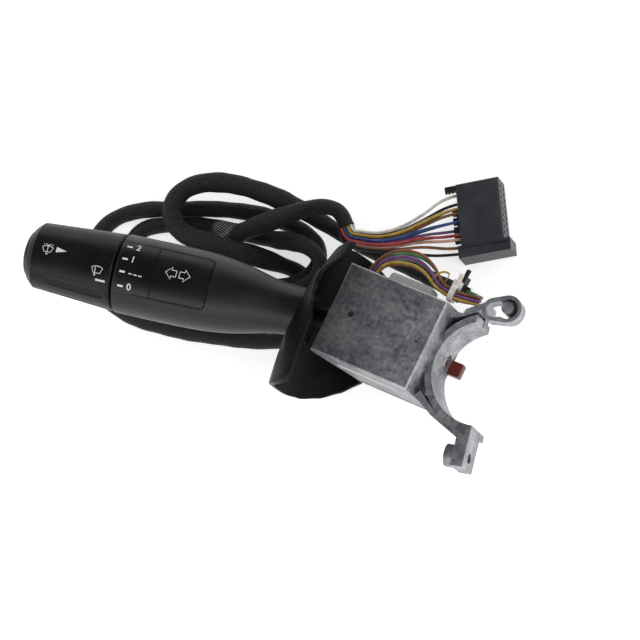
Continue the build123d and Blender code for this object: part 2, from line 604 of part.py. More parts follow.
with BuildPart() as stalk_body:
    with BuildSketch(SECTION):
        add(stalk_outline(0))
    revolve(axis=LEVER_AXIS)
    with BuildSketch(SECTION):
        add(stalk_outline(BODY_WALL))
        with Locations((CAVITY_START / 2, 0)):
            Rectangle(CAVITY_START, 4 * BODY_RADIUS, mode=Mode.SUBTRACT)
    revolve(axis=LEVER_AXIS, mode=Mode.SUBTRACT)
    with BuildSketch(STALK):
        Circle(ARM_RADIUS + RUNNING)
    extrude(amount=CAVITY_START + 1, mode=Mode.SUBTRACT)
    for name, start, finish, rounded in PLATES:
        add(inlay(start, finish, rounded, PLATE_GAP, PLATE_SKIN + RUNNING), mode=Mode.SUBTRACT)
save(stalk_body.part, "stalk_body")

for name, start, finish, rounded in PLATES:
    save(inlay(start, finish, rounded, 0, PLATE_SKIN), name)

with BuildPart() as lever_root:
    with BuildSketch(ACROSS):
        Circle(HUB_RADIUS)
    extrude(amount=HUB_HALF, both=True)
    with BuildSketch(STALK):
        Circle(ARM_RADIUS)
    extrude(amount=FLANGE_END)
    with BuildSketch(stalk_plane(FLANGE_START)):
        Circle(BODY_RADIUS - 0.2 - BODY_WALL - RUNNING)
    extrude(amount=FLANGE_END - FLANGE_START)
    with BuildSketch(stalk_plane(FLANGE_END)):
        Circle(SPINDLE_RADIUS)
        Circle(SPINDLE_RADIUS - 2.5, mode=Mode.SUBTRACT)
    extrude(amount=SPINDLE_END - FLANGE_END)
    with BuildSketch(ACROSS):
        Circle(FLASH_PIN_RADIUS + RUNNING)
    extrude(amount=CARRIER_SIDE, both=True, mode=Mode.SUBTRACT)
save(lever_root.part, "lever_root")

# ---------------------------------------------------------------- knob and its button
KNOB_END = KNOB_START + KNOB_LENGTH
KNOB_WALL = 2.6
KNOB_HUB_WALL = 2.4
KNOB_WEB = 3.2
WEB_START = SPINDLE_END + GAP
TAPER_END = KNOB_END - 3.5
FLUTES = 7
FLUTE_FIRST = 54.0  # degrees from the index mark
FLUTE_STEP = 42.2
FLUTE_RADIUS = 5.5
FLUTE_DEPTH = 0.95
FLUTE_START = KNOB_START + 5.5
FLUTE_LENGTH = 25.0
BUTTON_DOME = 2.4
SLIDING = 0.1


def knob_radius(distance):
    """Outer radius of the knob at a distance from the pivots."""
    return KNOB_RADIUS + (KNOB_TIP_RADIUS - KNOB_RADIUS) * (distance - KNOB_START) / (TAPER_END - KNOB_START)


FLUTE_MIDDLE = FLUTE_START + FLUTE_LENGTH / 2
FLUTE_LIFT = FLUTE_RADIUS - FLUTE_DEPTH
FLUTE_SLOPE = (knob_radius(TAPER_END) - knob_radius(KNOB_START)) / (TAPER_END - KNOB_START)

with BuildPart() as flute:
    with BuildSketch(SECTION):
        with BuildLine():
            rise_start = knob_radius(FLUTE_START) + FLUTE_LIFT
            rise_end = knob_radius(FLUTE_START + FLUTE_LENGTH) + FLUTE_LIFT
            Polyline((FLUTE_START, rise_start), (FLUTE_START, rise_start - FLUTE_RADIUS),
                     (FLUTE_START + FLUTE_LENGTH, rise_end - FLUTE_RADIUS),
                     (FLUTE_START + FLUTE_LENGTH, rise_end), (FLUTE_START, rise_start))
        make_face()
    flute_axis = Axis(origin=SECTION.from_local_coords((FLUTE_START, rise_start, 0)),
                      direction=OUTWARD + STALK_TOP * FLUTE_SLOPE)
    revolve(axis=flute_axis)
    for station, rise in ((FLUTE_START, rise_start), (FLUTE_START + FLUTE_LENGTH, rise_end)):
        with Locations(SECTION.from_local_coords((station, rise, 0))):
            Sphere(FLUTE_RADIUS)

with BuildPart() as knob:
    with BuildSketch(SECTION):
        with BuildLine():
            Polyline((KNOB_START, 0), (KNOB_START, KNOB_RADIUS - 0.6), (KNOB_START + 0.8, KNOB_RADIUS),
                     (TAPER_END, KNOB_TIP_RADIUS), (KNOB_END - 1.0, KNOB_TIP_RADIUS - 2.2),
                     (KNOB_END, KNOB_TIP_RADIUS - 3.4), (KNOB_END, 0), (KNOB_START, 0))
        make_face()
    revolve(axis=LEVER_AXIS)
    with BuildSketch(stalk_plane(KNOB_START)):
        Circle(SPINDLE_RADIUS + RUNNING)
    extrude(amount=WEB_START - KNOB_START, mode=Mode.SUBTRACT)
    # hollow between the skirt and the hub
    with BuildSketch(SECTION):
        with BuildLine():
            hub_outer = SPINDLE_RADIUS + RUNNING + KNOB_HUB_WALL
            Polyline((KNOB_START, hub_outer), (WEB_START - 2, hub_outer),
                     (WEB_START - 2, knob_radius(WEB_START) - KNOB_WALL), (KNOB_START, KNOB_RADIUS - KNOB_WALL),
                     (KNOB_START, hub_outer))
        make_face()
    revolve(axis=LEVER_AXIS, mode=Mode.SUBTRACT)
    with BuildSketch(stalk_plane(WEB_START + KNOB_WEB)):
        Circle(BUTTON_RADIUS + SLIDING)
    extrude(amount=KNOB_LENGTH, mode=Mode.SUBTRACT)
    for number in range(FLUTES):
        add(flute.part.rotate(LEVER_AXIS, -FLUTE_FIRST - number * FLUTE_STEP), mode=Mode.SUBTRACT)
save(knob.part, "knob")

BUTTON_BACK = WEB_START + KNOB_WEB + BUTTON_TRAVEL + SLIDING
BUTTON_RIM = KNOB_END + BUTTON_STANDS - BUTTON_DOME
DOME_EDGE = BUTTON_RADIUS - 0.5
DOME_RADIUS = (DOME_EDGE ** 2 + BUTTON_DOME ** 2) / (2 * BUTTON_DOME)
DOME_CENTRE = BUTTON_RIM + BUTTON_DOME - DOME_RADIUS
DOME_ANGLE = asin(DOME_EDGE / DOME_RADIUS)

with BuildPart() as end_button:
    with BuildSketch(SECTION):
        with BuildLine():
            Polyline((BUTTON_BACK, 0), (BUTTON_BACK, BUTTON_RADIUS), (BUTTON_RIM - 0.5, BUTTON_RADIUS),
                     (BUTTON_RIM, DOME_EDGE))
            ThreePointArc((BUTTON_RIM, DOME_EDGE), (DOME_CENTRE + DOME_RADIUS * cos(DOME_ANGLE / 2),
                                                    DOME_RADIUS * sin(DOME_ANGLE / 2)), (BUTTON_RIM + BUTTON_DOME, 0))
            Line((BUTTON_RIM + BUTTON_DOME, 0), (BUTTON_BACK, 0))
        make_face()
    revolve(axis=LEVER_AXIS)
save(end_button.part, "end_button")

# ---------------------------------------------------------------- cowl
NEAR_ANGLE = degrees(asin((COWL_NEAR - PIVOT_HEIGHT) / COWL_RADIUS))
FAR_ANGLE = -87.0
COWL_SECTION = Plane(origin=PIVOT, x_dir=V_AXIS,
                     z_dir=U_AXIS * sin(radians(FAR_ANGLE)) + Z_AXIS * cos(radians(FAR_ANGLE)))
LOW_CORNER = 14.0
TIP_CORNER = 6.0
FAR_CORNER = 22.0
COLLAR_WALL = 2.2
COLLAR_START = 25.5
COLLAR_LENGTH = 18.0
FAR_EDGE = COWL_RADIUS * cos(radians(FAR_ANGLE))


def barrel_arc(radius):
    """Three points of the barrel's generator, in v and radius."""
    fall_low = (COWL_LOW - COWL_CENTRE) ** 2 / (2 * COWL_BELLY)
    fall_high = (COWL_HIGH - COWL_CENTRE) ** 2 / (2 * COWL_BELLY)
    return (COWL_LOW, radius - fall_low), (COWL_CENTRE, radius), (COWL_HIGH, radius - fall_high)


with BuildPart() as collar:
    with BuildSketch(COWL_SECTION):
        with BuildLine():
            skin = ThreePointArc(*barrel_arc(COWL_RADIUS - COWL_WALL / 2))
            Polyline(skin @ 1, (COWL_HIGH, 0), (COWL_LOW, 0), skin @ 0)
        make_face()
    revolve(axis=Axis(origin=PIVOT, direction=V_AXIS))
    with BuildSketch(stalk_plane(COLLAR_START)):
        Circle(NECK_RADIUS + COLLAR_WALL)
    extrude(amount=COLLAR_LENGTH, mode=Mode.INTERSECT)

with BuildPart() as cowl:
    with BuildSketch(COWL_SECTION):
        with BuildLine():
            outer_arc = ThreePointArc(*barrel_arc(COWL_RADIUS))
            inner_arc = ThreePointArc(*barrel_arc(COWL_RADIUS - COWL_WALL))
            Line(outer_arc @ 0, inner_arc @ 0)
            Line(outer_arc @ 1, inner_arc @ 1)
        make_face()
    revolve(axis=Axis(origin=PIVOT, direction=V_AXIS), revolution_arc=NEAR_ANGLE - FAR_ANGLE)
    with BuildSketch(FACING):
        with BuildLine():
            Polyline((-COWL_HIGH - 1, -60), (-COWL_HIGH, COWL_NEAR + 2), (-COWL_LOW, COWL_NEAR + 2), (-COWL_LOW + 1, -60),
                     (-COWL_HIGH - 1, -60))
        make_face()
    extrude(amount=60, mode=Mode.INTERSECT)
    # rounded corners of the near rim, seen from the lever's end
    near_edge = COWL_NEAR - PIVOT_HEIGHT
    for edge, inward, corner in ((-COWL_HIGH, 1, TIP_CORNER), (-COWL_LOW, -1, LOW_CORNER)):
        with BuildSketch(FACING):
            with Locations((edge + inward * (corner / 2 - 2), near_edge - corner / 2 + 2)):
                Rectangle(corner + 4, corner + 4)
            with Locations((edge + inward * corner, near_edge - corner)):
                Circle(corner, mode=Mode.SUBTRACT)
        extrude(amount=60, mode=Mode.SUBTRACT)
    # rounded corners of the far rim, seen from below
    for edge, inward in ((-COWL_HIGH, 1), (-COWL_LOW, -1)):
        with BuildSketch(UNDER):
            with Locations((edge + inward * (FAR_CORNER / 2 - 2), FAR_EDGE + FAR_CORNER / 2 - 2)):
                Rectangle(FAR_CORNER + 4, FAR_CORNER + 4)
            with Locations((edge + inward * FAR_CORNER, FAR_EDGE + FAR_CORNER)):
                Circle(FAR_CORNER, mode=Mode.SUBTRACT)
        extrude(amount=60, mode=Mode.SUBTRACT)
    # collar that grips the stalk's neck
    add(collar.part)
    with BuildSketch(stalk_plane(COLLAR_START - 1)):
        Circle(NECK_RADIUS + RUNNING)
    extrude(amount=COLLAR_LENGTH, mode=Mode.SUBTRACT)
save(cowl.part, "cowl")

# ---------------------------------------------------------------- harness connector
CONNECTOR = Plane(origin=CONNECTOR_PLACE, z_dir=Z_AXIS,
                  x_dir=(cos(radians(CONNECTOR_TURN)), sin(radians(CONNECTOR_TURN)), 0))
HALF_DEPTH = CONNECTOR_DEPTH / 2
HALF_SPAN = CONNECTOR_WIDTH / 2
FLANGE_WIDTH = 6.3
FLANGE_THICKNESS = 11.0
FLANGE_BACK = HALF_DEPTH + 1.8
FLANGE_FRONT = HALF_DEPTH + 2.8
WINDOW = 1.8
WINDOW_PITCH = 3.0
WINDOW_DEPTH = 3.0
WINDOWS = 9
ROW_OFFSET = 2.8
COMB_REACH = 4.0
COMB_THICKNESS = 2.2
TOOTH_PITCH = 4.6
LATCH_PLACE = 13.9
FLANGE_Y = -HALF_SPAN - FLANGE_WIDTH / 2
CONNECTOR_FACE = Plane(origin=CONNECTOR.from_local_coords((HALF_DEPTH, 0, 0)), x_dir=CONNECTOR.y_dir,
                       z_dir=CONNECTOR.x_dir)

with BuildPart() as connector_housing:
    with BuildSketch(CONNECTOR.offset(-CONNECTOR_THICKNESS / 2)):
        Rectangle(CONNECTOR_DEPTH, CONNECTOR_WIDTH)
    extrude(amount=CONNECTOR_THICKNESS)
    block_rims = connector_housing.faces().sort_by(Axis.Z)[-1].edges()
    chamfer(block_rims, 0.5)
    with BuildSketch(CONNECTOR.offset(-FLANGE_THICKNESS / 2)):
        with Locations(((FLANGE_FRONT - FLANGE_BACK) / 2, FLANGE_Y)):
            Rectangle(FLANGE_FRONT + FLANGE_BACK, FLANGE_WIDTH)
    extrude(amount=FLANGE_THICKNESS)
    # groove, key slot and vent hole of the flange
    with BuildSketch(CONNECTOR.offset(FLANGE_THICKNESS / 2)):
        with Locations((-3.0, FLANGE_Y + 1.6)):
            Rectangle(FLANGE_BACK * 1.2, 0.6)
        with Locations((FLANGE_FRONT - 5.6, FLANGE_Y + 1.2)):
            Rectangle(8.0, 1.5)
        with Locations((-FLANGE_BACK + 7.0, FLANGE_Y + 1.6)):
            Circle(0.8)
    extrude(amount=-0.8, mode=Mode.SUBTRACT)
    # terminal windows of the mating face
    with BuildSketch(CONNECTOR_FACE):
        with GridLocations(WINDOW_PITCH, 2 * ROW_OFFSET, WINDOWS, 2):
            Rectangle(WINDOW, WINDOW)
    extrude(amount=-WINDOW_DEPTH, mode=Mode.SUBTRACT)
save(connector_housing.part, "connector_housing")

with BuildPart() as connector_lock:
    with BuildSketch(CONNECTOR.offset(-COMB_THICKNESS / 2)):
        with Locations((-HALF_DEPTH - COMB_REACH / 2, -3.5)):
            Rectangle(COMB_REACH, 18.0)
        with Locations((-HALF_DEPTH - COMB_REACH, -3.5)):
            with GridLocations(COMB_REACH, TOOTH_PITCH, 1, 3):
                Rectangle(COMB_REACH, 1.3, mode=Mode.SUBTRACT)
    extrude(amount=COMB_THICKNESS)
save(connector_lock.part, "connector_lock")

with BuildPart() as connector_latch:
    with BuildSketch(CONNECTOR.offset(CONNECTOR_THICKNESS / 2 - 3.2)):
        with Locations((-HALF_DEPTH - 2.8, LATCH_PLACE)):
            Rectangle(5.6, 3.2)
            with GridLocations(1.8, 0, 3, 1):
                with Locations((-0.2, -1.6)):
                    Rectangle(0.8, 0.9, mode=Mode.SUBTRACT)
    extrude(amount=2.4)
save(connector_latch.part, "connector_latch")

# ---------------------------------------------------------------- cords
SLEEVE_ROUTE = [
    (-24.2, 40.0, -8.1), (-39, 44.4, -12), (-57, 52, -22.8), (-75.5, 57.8, -30), (-93, 63.4, -31.8),
    (-109.5, 69.6, -28), (-125, 75.3, -24.5), (-144, 80.4, -24), (-163, 83.2, -24), (-179, 81.8, -24),
    (-189.5, 76, -24), (-193.2, 66.5, -24), (-189, 57.5, -23.5), (-179.5, 52.3, -22.5), (-167, 49.8, -20.8),
    (-149, 48.4, -21.8), (-132, 47.2, -29), (-118.5, 45, -32), (-109.5, 38, -32), (-106.3, 26, -32),
    (-110, 14.5, -32), (-121, 8.6, -32), (-139, 6.8, -32), (-161, 5.8, -32), (-183, 6.6, -32),
    (-202.7, 9.2, -32), (-219.5, 16, -32), (-231.2, 28.8, -32), (-234.8, 44, -32), (-228, 57.8, -32),
    (-212.5, 65.3, -32), (-193.5, 67.7, -32), (-173.5, 71, -32), (-153.5, 71.8, -32), (-134.5, 69.7, -32),
    (-119.5, 64.5, -31.2), (-110, 57, -28), (-107.5, 48, -24.6), (-112, 39.5, -24), (-122, 34.6, -25.5),
    (-138, 32.2, -29.5), (-158, 31.1, -32), (-179.9, 30.2, -32), (-197, 32.6, -32), (-208.5, 38.5, -32),
    (-213.5, 47.5, -32), (-208.5, 56, -32), (-196, 59.3, -32), (-180, 61.3, -32), (-164, 61.4, -32),
    (-149, 60.2, -32), (-134, 58.6, -28.5), (-121, 57, -21.5), (-109, 53.5, -16), (-102, 46.5, -15.3),
    (-102.5, 38.5, -15.3), (-110, 32, -15.5), (-124, 27, -16), (-141, 23.5, -18), (-158, 22.5, -21.5),
    (-172, 24, -23.4), (-180.5, 30, -22.8), (-181.5, 38.5, -25.5), (-175.5, 46, -30.2), (-165.5, 51.3, -31.2),
    (-155, 57.0, -24.5), (-145, 61.5, -21.5), (-131, 66.8, -17), (-118, 72.6, -15.2), (-107.5, 76, -16),
    (-99.5, 74.5, -18.5), (-96.1, 68.2, -19.96)]

# wires of the plug: (x, y, z) from the sleeve's end to the connector
PLUG_ROUTES = [
    [(-93.6, 68.9, -18.3), (-92.1, 66.0, -19.0), (-89.3, 66.6, -19.5), (-80.0, 66.8, -20.6), (-69.5, 71.6, -21.9),
     (-59.8, 80.6, -23.6), (-53.3, 90.9, -27.2), (-46.7, 93.2, -27.2)],
    [(-93.8, 69.2, -20.0), (-92.2, 66.3, -20.7), (-89.1, 66.0, -21.2), (-80.0, 66.2, -22.3), (-69.5, 70.6, -23.6),
     (-59.6, 79.3, -26.7), (-52.6, 88.8, -32.8), (-46.0, 91.1, -32.8)],
    [(-94.0, 69.5, -21.7), (-92.4, 66.6, -22.3), (-89.0, 65.4, -22.9), (-80.0, 65.5, -24.0), (-69.5, 69.8, -25.3),
     (-59.6, 77.9, -28.4), (-51.9, 86.7, -32.8), (-45.2, 89.0, -32.8)],
    [(-95.1, 68.1, -18.3), (-93.2, 64.5, -19.2), (-88.9, 64.8, -19.5), (-80.0, 64.9, -20.6), (-69.5, 68.8, -21.9),
     (-59.4, 76.6, -23.6), (-51.1, 84.6, -27.2), (-44.5, 86.8, -27.2)],
    [(-95.3, 68.4, -20.0), (-93.3, 64.8, -20.8), (-88.8, 64.1, -21.2), (-80.0, 64.2, -22.3), (-69.5, 67.9, -23.6),
     (-59.4, 75.2, -25.3), (-50.4, 82.4, -27.2), (-43.8, 84.7, -27.2)],
    [(-95.4, 68.7, -21.7), (-93.5, 65.1, -22.5), (-88.7, 63.5, -22.9), (-80.0, 63.5, -24.0), (-69.5, 67.0, -25.3),
     (-59.2, 73.9, -28.4), (-49.7, 80.3, -32.8), (-43.0, 82.6, -32.8)],
    [(-96.6, 67.3, -18.3), (-94.3, 63.0, -19.3), (-88.5, 62.9, -19.5), (-80.0, 62.9, -20.6), (-69.5, 66.1, -21.9),
     (-59.2, 72.5, -23.6), (-48.9, 78.2, -27.2), (-42.3, 80.5, -27.2)],
    [(-96.7, 67.6, -20.0), (-94.4, 63.3, -21.0), (-88.4, 62.3, -21.2), (-80.0, 62.2, -22.3), (-69.5, 65.2, -23.6),
     (-59.0, 71.2, -26.7), (-48.2, 76.0, -32.8), (-41.6, 78.3, -32.8)],
    [(-96.9, 67.9, -21.7), (-94.6, 63.6, -22.7), (-88.3, 61.6, -22.9), (-80.0, 61.6, -24.0), (-69.5, 64.4, -25.3),
     (-59.0, 69.8, -28.4), (-47.5, 73.9, -32.8), (-40.8, 76.2, -32.8)],
    [(-98.0, 66.5, -18.3), (-95.3, 61.5, -19.5), (-88.2, 61.0, -19.5), (-80.0, 60.9, -20.6), (-69.5, 63.4, -21.9),
     (-58.8, 68.5, -23.6), (-46.7, 71.8, -27.2), (-40.1, 74.1, -27.2)],
    [(-98.2, 66.8, -20.0), (-95.5, 61.8, -21.2), (-88.1, 60.4, -21.2), (-80.0, 60.2, -22.3), (-69.5, 62.6, -23.6),
     (-58.8, 67.1, -25.3), (-46.0, 69.7, -27.2), (-39.4, 71.9, -27.2)],
    [(-98.4, 67.1, -21.7), (-95.6, 62.1, -22.8), (-87.9, 59.8, -22.9), (-80.0, 59.6, -24.0), (-69.5, 61.6, -25.3),
     (-58.6, 65.8, -28.4), (-45.3, 67.5, -32.8), (-38.6, 69.8, -32.8)],
    [(-99.5, 65.7, -20.1), (-96.9, 60.2, -20.9), (-88.6, 58.0, -21.0), (-80.0, 58.0, -21.4), (-70.0, 59.8, -23.6),
     (-60.0, 61.2, -27.0), (-49.5, 62.4, -29.6), (-39.3, 65.2, -30.0)]]

# wires of the switch: (u, v, z) from the cable outlet to the sleeve's mouth
SWITCH_ROUTES = {
    "brown": [(-76.9, 23.8, 4.3), (-75.7, 28.9, 5.3), (-71.2, 35.6, 6.4), (-63.3, 40.2, 7.1), (-54.3, 41.2, 6.9),
              (-46.1, 37.7, 5.8), (-41.4, 32.8, 4.6), (-36.7, 31.5, 3.9), (-31.0, 31.3, 3.5), (-25.0, 32.3, 1.9),
              (-21.8, 34.0, -2.9), (-24.8, 35.1, -7.7), (-32.2, 35.2, -8.8)],
    "green": [(-76.9, 23.8, 2.6), (-75.7, 28.9, 3.6), (-71.2, 35.1, 4.2), (-63.3, 39.2, 4.5), (-54.3, 40.2, 4.3),
              (-46.1, 37.3, 3.8), (-41.4, 32.8, 2.9), (-36.7, 31.5, 2.1), (-31.0, 31.3, 1.8), (-26.0, 32.3, 0.5),
              (-23.8, 34.0, -2.9), (-26.4, 35.1, -6.1), (-32.2, 35.2, -7.2)],
    "violet": [(-75.0, 23.8, 4.3), (-74.0, 28.6, 5.3), (-69.8, 33.6, 6.4), (-62.8, 37.1, 7.1), (-54.8, 38.1, 6.9),
               (-47.6, 35.6, 5.8), (-42.8, 31.4, 4.6), (-37.0, 29.8, 3.9), (-31.0, 29.6, 3.5), (-25.0, 30.6, 1.9),
               (-21.8, 32.3, -2.9), (-24.8, 33.4, -7.7), (-32.2, 33.5, -8.8)],
    "grey": [(-75.0, 23.8, 2.6), (-74.0, 28.6, 3.6), (-69.8, 33.4, 4.2), (-62.8, 36.6, 4.5), (-54.8, 37.6, 4.3),
             (-47.6, 35.4, 3.8), (-42.8, 31.4, 2.9), (-37.0, 29.8, 2.1), (-31.0, 29.6, 1.8), (-26.0, 30.6, 0.5),
             (-23.8, 32.3, -2.9), (-26.4, 33.4, -6.1), (-32.2, 33.5, -7.2)],
    "yellow": [(-73.1, 23.8, 4.3), (-72.3, 28.3, 5.3), (-68.4, 31.7, 6.4), (-62.3, 34.0, 7.1), (-55.3, 35.0, 6.9),
               (-49.1, 33.5, 5.8), (-44.2, 30.0, 4.6), (-37.3, 28.1, 3.9), (-31.0, 27.9, 3.5), (-25.0, 28.9, 1.9),
               (-21.8, 30.6, -2.9), (-24.8, 31.7, -7.7), (-32.2, 31.8, -8.8)],
    "thin": [(-73.1, 23.8, 2.6), (-72.3, 28.3, 3.6), (-68.4, 31.6, 4.2), (-62.3, 33.8, 4.5), (-55.3, 34.8, 4.3),
             (-49.1, 33.4, 3.8), (-44.2, 30.0, 2.9), (-37.3, 28.1, 2.1), (-31.0, 27.9, 1.8), (-26.0, 28.9, 0.5),
             (-23.8, 30.6, -2.9), (-26.4, 31.7, -6.1), (-32.2, 31.8, -7.2)]}


def arc_radii(points):
    """The largest tangent arc that the two runs beside each point leave room for."""
    spots = [Vector(point) for point in points]
    found = []
    for before, here, after in zip(spots, spots[1:], spots[2:]):
        turn = radians((here - before).get_angle(after - here))
        shorter = min((here - before).length, (after - here).length)
        found.append(0.45 * shorter / tan(turn / 2))
    return found


def cord(name, points, diameter):
    """A round cord along straight runs joined by tangent arcs."""
    radii = arc_radii(points)
    with BuildPart() as tube:
        with BuildLine() as route:
            FilletPolyline(*points, radius=radii)
        with BuildSketch(Plane(origin=route.line @ 0, z_dir=route.line % 0)):
            Circle(diameter / 2)
        sweep()
    length = sum(edge.length for edge in route.edges())
    expected = length * pi * diameter ** 2 / 4
    tightest = min(radii)
    print(f"{name}: {length:.0f} mm long, radii {tightest:.1f} to {max(radii):.0f} mm "
          f"({tightest / diameter:.1f} diameters), volume {tube.part.volume / expected:.4f} of section x length")
    save(tube.part, name)


cord("harness_sleeve", SLEEVE_ROUTE, SLEEVE_DIAMETER)
for number, route_points in enumerate(PLUG_ROUTES, start=1):
    cord(f"plug_wire_{number:02d}", route_points, PLUG_WIRE)
for colour, route_points in SWITCH_ROUTES.items():
    cord(f"switch_wire_{colour}", [on_housing(*point) for point in route_points], SWITCH_WIRE)

# ---------------------------------------------------------------- cable ties
TIE_WIDTH = 2.6
TIE_THICKNESS = 1.2
TIE_HEAD = 3.6


def tie(name, plane, wide, high, bend, head_side):
    """A cable tie round a bundle, wide by high with rounded corners, and its head on one side."""
    with BuildPart() as strap:
        with BuildSketch(plane.offset(-TIE_WIDTH / 2)):
            RectangleRounded(wide + 2 * TIE_THICKNESS, high + 2 * TIE_THICKNESS, bend + TIE_THICKNESS)
            RectangleRounded(wide, high, bend, mode=Mode.SUBTRACT)
        extrude(amount=TIE_WIDTH)
        with BuildSketch(plane.offset(-TIE_WIDTH / 2 - 0.6)):
            with Locations((head_side * (wide / 2 + TIE_HEAD / 2 + 0.4), 0)):
                Rectangle(TIE_HEAD, TIE_HEAD)
        extrude(amount=TIE_WIDTH + 1.2)
        with BuildSketch(plane.offset(-TIE_WIDTH / 2 + 0.3)):
            with Locations((head_side * (wide / 2 + TIE_HEAD + 2.0), 0.4)):
                Rectangle(4.0, 1.1)
        extrude(amount=TIE_WIDTH - 0.6)
    save(strap.part, name)


BUNDLE = Plane(origin=on_housing(-33.8, 29.72, 2.82), x_dir=V_AXIS, z_dir=U_AXIS)
MOUTH_RUN = (Vector(SLEEVE_ROUTE[1]) - Vector(SLEEVE_ROUTE[0])).normalized()
MOUTH = Plane(origin=Vector(SLEEVE_ROUTE[0]) + MOUTH_RUN * 4.5, x_dir=Z_AXIS.cross(MOUTH_RUN), z_dir=MOUTH_RUN)
tie("tie_1", BUNDLE, 5.5, 4.0, 0.9, 1)
tie("tie_2", MOUTH, SLEEVE_DIAMETER + 0.2, SLEEVE_DIAMETER + 0.2, SLEEVE_DIAMETER / 2, -1)
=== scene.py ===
# %% [markdown]
# # Dressing a steering-column stalk switch
# The solids of this switch come from a CAD model: a cast housing that straddles the steering column, a cowl, a
# stalk with a rotary knob, and a braided harness with its plug. They are a fixed frame. Here they get a camera, a
# studio, finishes and the small things that a solid model leaves out: printed marks, a braid, a label.

# %% Load the fixed frame
import random
from math import atan2, cos, degrees, hypot, pi, radians, sin

import bmesh
import bpy
from mathutils import Matrix, Vector
from mathutils.bvhtree import BVHTree


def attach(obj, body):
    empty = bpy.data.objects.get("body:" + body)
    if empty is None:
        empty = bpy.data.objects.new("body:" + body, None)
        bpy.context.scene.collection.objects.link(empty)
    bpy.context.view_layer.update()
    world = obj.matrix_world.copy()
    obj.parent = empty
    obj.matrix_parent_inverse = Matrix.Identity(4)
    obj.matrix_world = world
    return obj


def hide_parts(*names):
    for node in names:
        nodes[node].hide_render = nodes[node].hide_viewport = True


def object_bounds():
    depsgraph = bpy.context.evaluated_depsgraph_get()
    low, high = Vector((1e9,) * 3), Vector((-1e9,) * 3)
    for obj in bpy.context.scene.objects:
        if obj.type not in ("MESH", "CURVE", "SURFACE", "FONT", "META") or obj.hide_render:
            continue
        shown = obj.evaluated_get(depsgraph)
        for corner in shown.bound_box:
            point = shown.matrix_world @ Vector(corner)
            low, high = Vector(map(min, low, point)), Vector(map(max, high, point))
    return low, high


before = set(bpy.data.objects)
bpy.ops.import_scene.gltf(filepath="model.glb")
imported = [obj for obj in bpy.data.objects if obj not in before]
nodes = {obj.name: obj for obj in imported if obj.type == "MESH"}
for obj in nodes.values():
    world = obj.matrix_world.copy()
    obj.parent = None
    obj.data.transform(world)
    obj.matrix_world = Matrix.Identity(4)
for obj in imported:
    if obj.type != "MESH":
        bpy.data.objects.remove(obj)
cad_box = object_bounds()

# %% [markdown]
# ## Three directions to work in
# The housing is turned 13 degrees about the column, and the stalk leaves it at its own lean and rise. Naming these
# directions once lets every later piece be placed by plain distances: along the housing, across it, out along the
# stalk. Lengths are written in metres, as Blender wants them, and `mm` keeps the small ones readable.

# %% Name the part's directions
mm = 0.001
TURNED = radians(13)
HOUSING_ALONG = Vector((cos(TURNED), -sin(TURNED), 0))
HOUSING_ACROSS = Vector((sin(TURNED), cos(TURNED), 0))
UPWARD = Vector((0, 0, 1))
PIVOT = Vector((-0.066257, 0.015297, 0.001))
STALK_OUT = Vector((-0.976619, 0.010228, 0.214735)).normalized()
STALK_LEFT = STALK_OUT.cross(UPWARD).normalized()
STALK_TOP = STALK_LEFT.cross(STALK_OUT)


def on_housing(along, across, up):
    """A point of the housing, by millimetres along it, across it and up the column."""
    return (HOUSING_ALONG * along + HOUSING_ACROSS * across + UPWARD * up) * mm


print("stalk's top faces", [round(x, 3) for x in STALK_TOP])

# %% [markdown]
# ## The camera
# The switch lies on a table and is seen from high above its lug side, from more than a metre away. A long lens makes
# such a view nearly parallel and still fills the frame. The camera's place and its three angles are set directly,
# because no target point would give its slight roll.

# %% Place the camera
EYE_PLACE = (0.386216, -0.254327, 1.140644)
EYE_ANGLES = (17.4769, 19.0209, 14.4807)
LENS, SENSOR = 150, 36
eye = bpy.data.cameras.new("eye")
eye.lens = LENS
eye.sensor_width = SENSOR
camera = bpy.data.objects.new("camera", eye)
camera.location = EYE_PLACE
camera.rotation_euler = [radians(angle) for angle in EYE_ANGLES]
bpy.context.scene.collection.objects.link(camera)
bpy.context.scene.camera = camera
print("camera is", round(camera.location.length, 3), "m from the column's centre")

# %% [markdown]
# ## A small kit for finishes
# A finish is a Principled shader with textures wired into it. Small helpers keep the wiring short: one makes the
# material with its constants, one adds a node with its inputs, and the rest build on these two. Every noise is
# fixed to the object itself, in metres, so it stays put when the camera moves and its grain has a real size.

# %% Helpers for materials
def new_finish(name, colour, roughness, metallic=0.0, **sockets):
    """A material with a Principled shader whose plain values are set on its own sockets."""
    finish = bpy.data.materials.new(name)
    finish.use_nodes = True
    shader = finish.node_tree.nodes["Principled BSDF"]
    shader.inputs["Base Color"].default_value = (*colour, 1)
    shader.inputs["Roughness"].default_value = roughness
    shader.inputs["Metallic"].default_value = metallic
    for socket, value in sockets.items():
        shader.inputs[socket.replace("_", " ")].default_value = value
    return finish


def put(finish, kind, inputs=(), **settings):
    """A new node, with its settings and its inputs: a number, a colour or another node's output."""
    made = finish.node_tree.nodes.new("ShaderNode" + kind)
    for setting, value in settings.items():
        setattr(made, setting, value)
    for socket, value in dict(inputs).items():
        if isinstance(value, bpy.types.NodeSocket):
            finish.node_tree.links.new(value, made.inputs[socket])
        else:
            made.inputs[socket].default_value = value
    return made


def to_shader(finish, socket, output):
    """Wires an output into the finish's shader."""
    finish.node_tree.links.new(output, finish.node_tree.nodes["Principled BSDF"].inputs[socket])


def place_of(finish, stretch=(1, 1, 1)):
    """The surface's own coordinates, in metres, stretched if the grain runs one way."""
    where = put(finish, "TexCoord").outputs["Object"]
    return put(finish, "Mapping", {"Vector": where, "Scale": stretch}).outputs["Vector"]


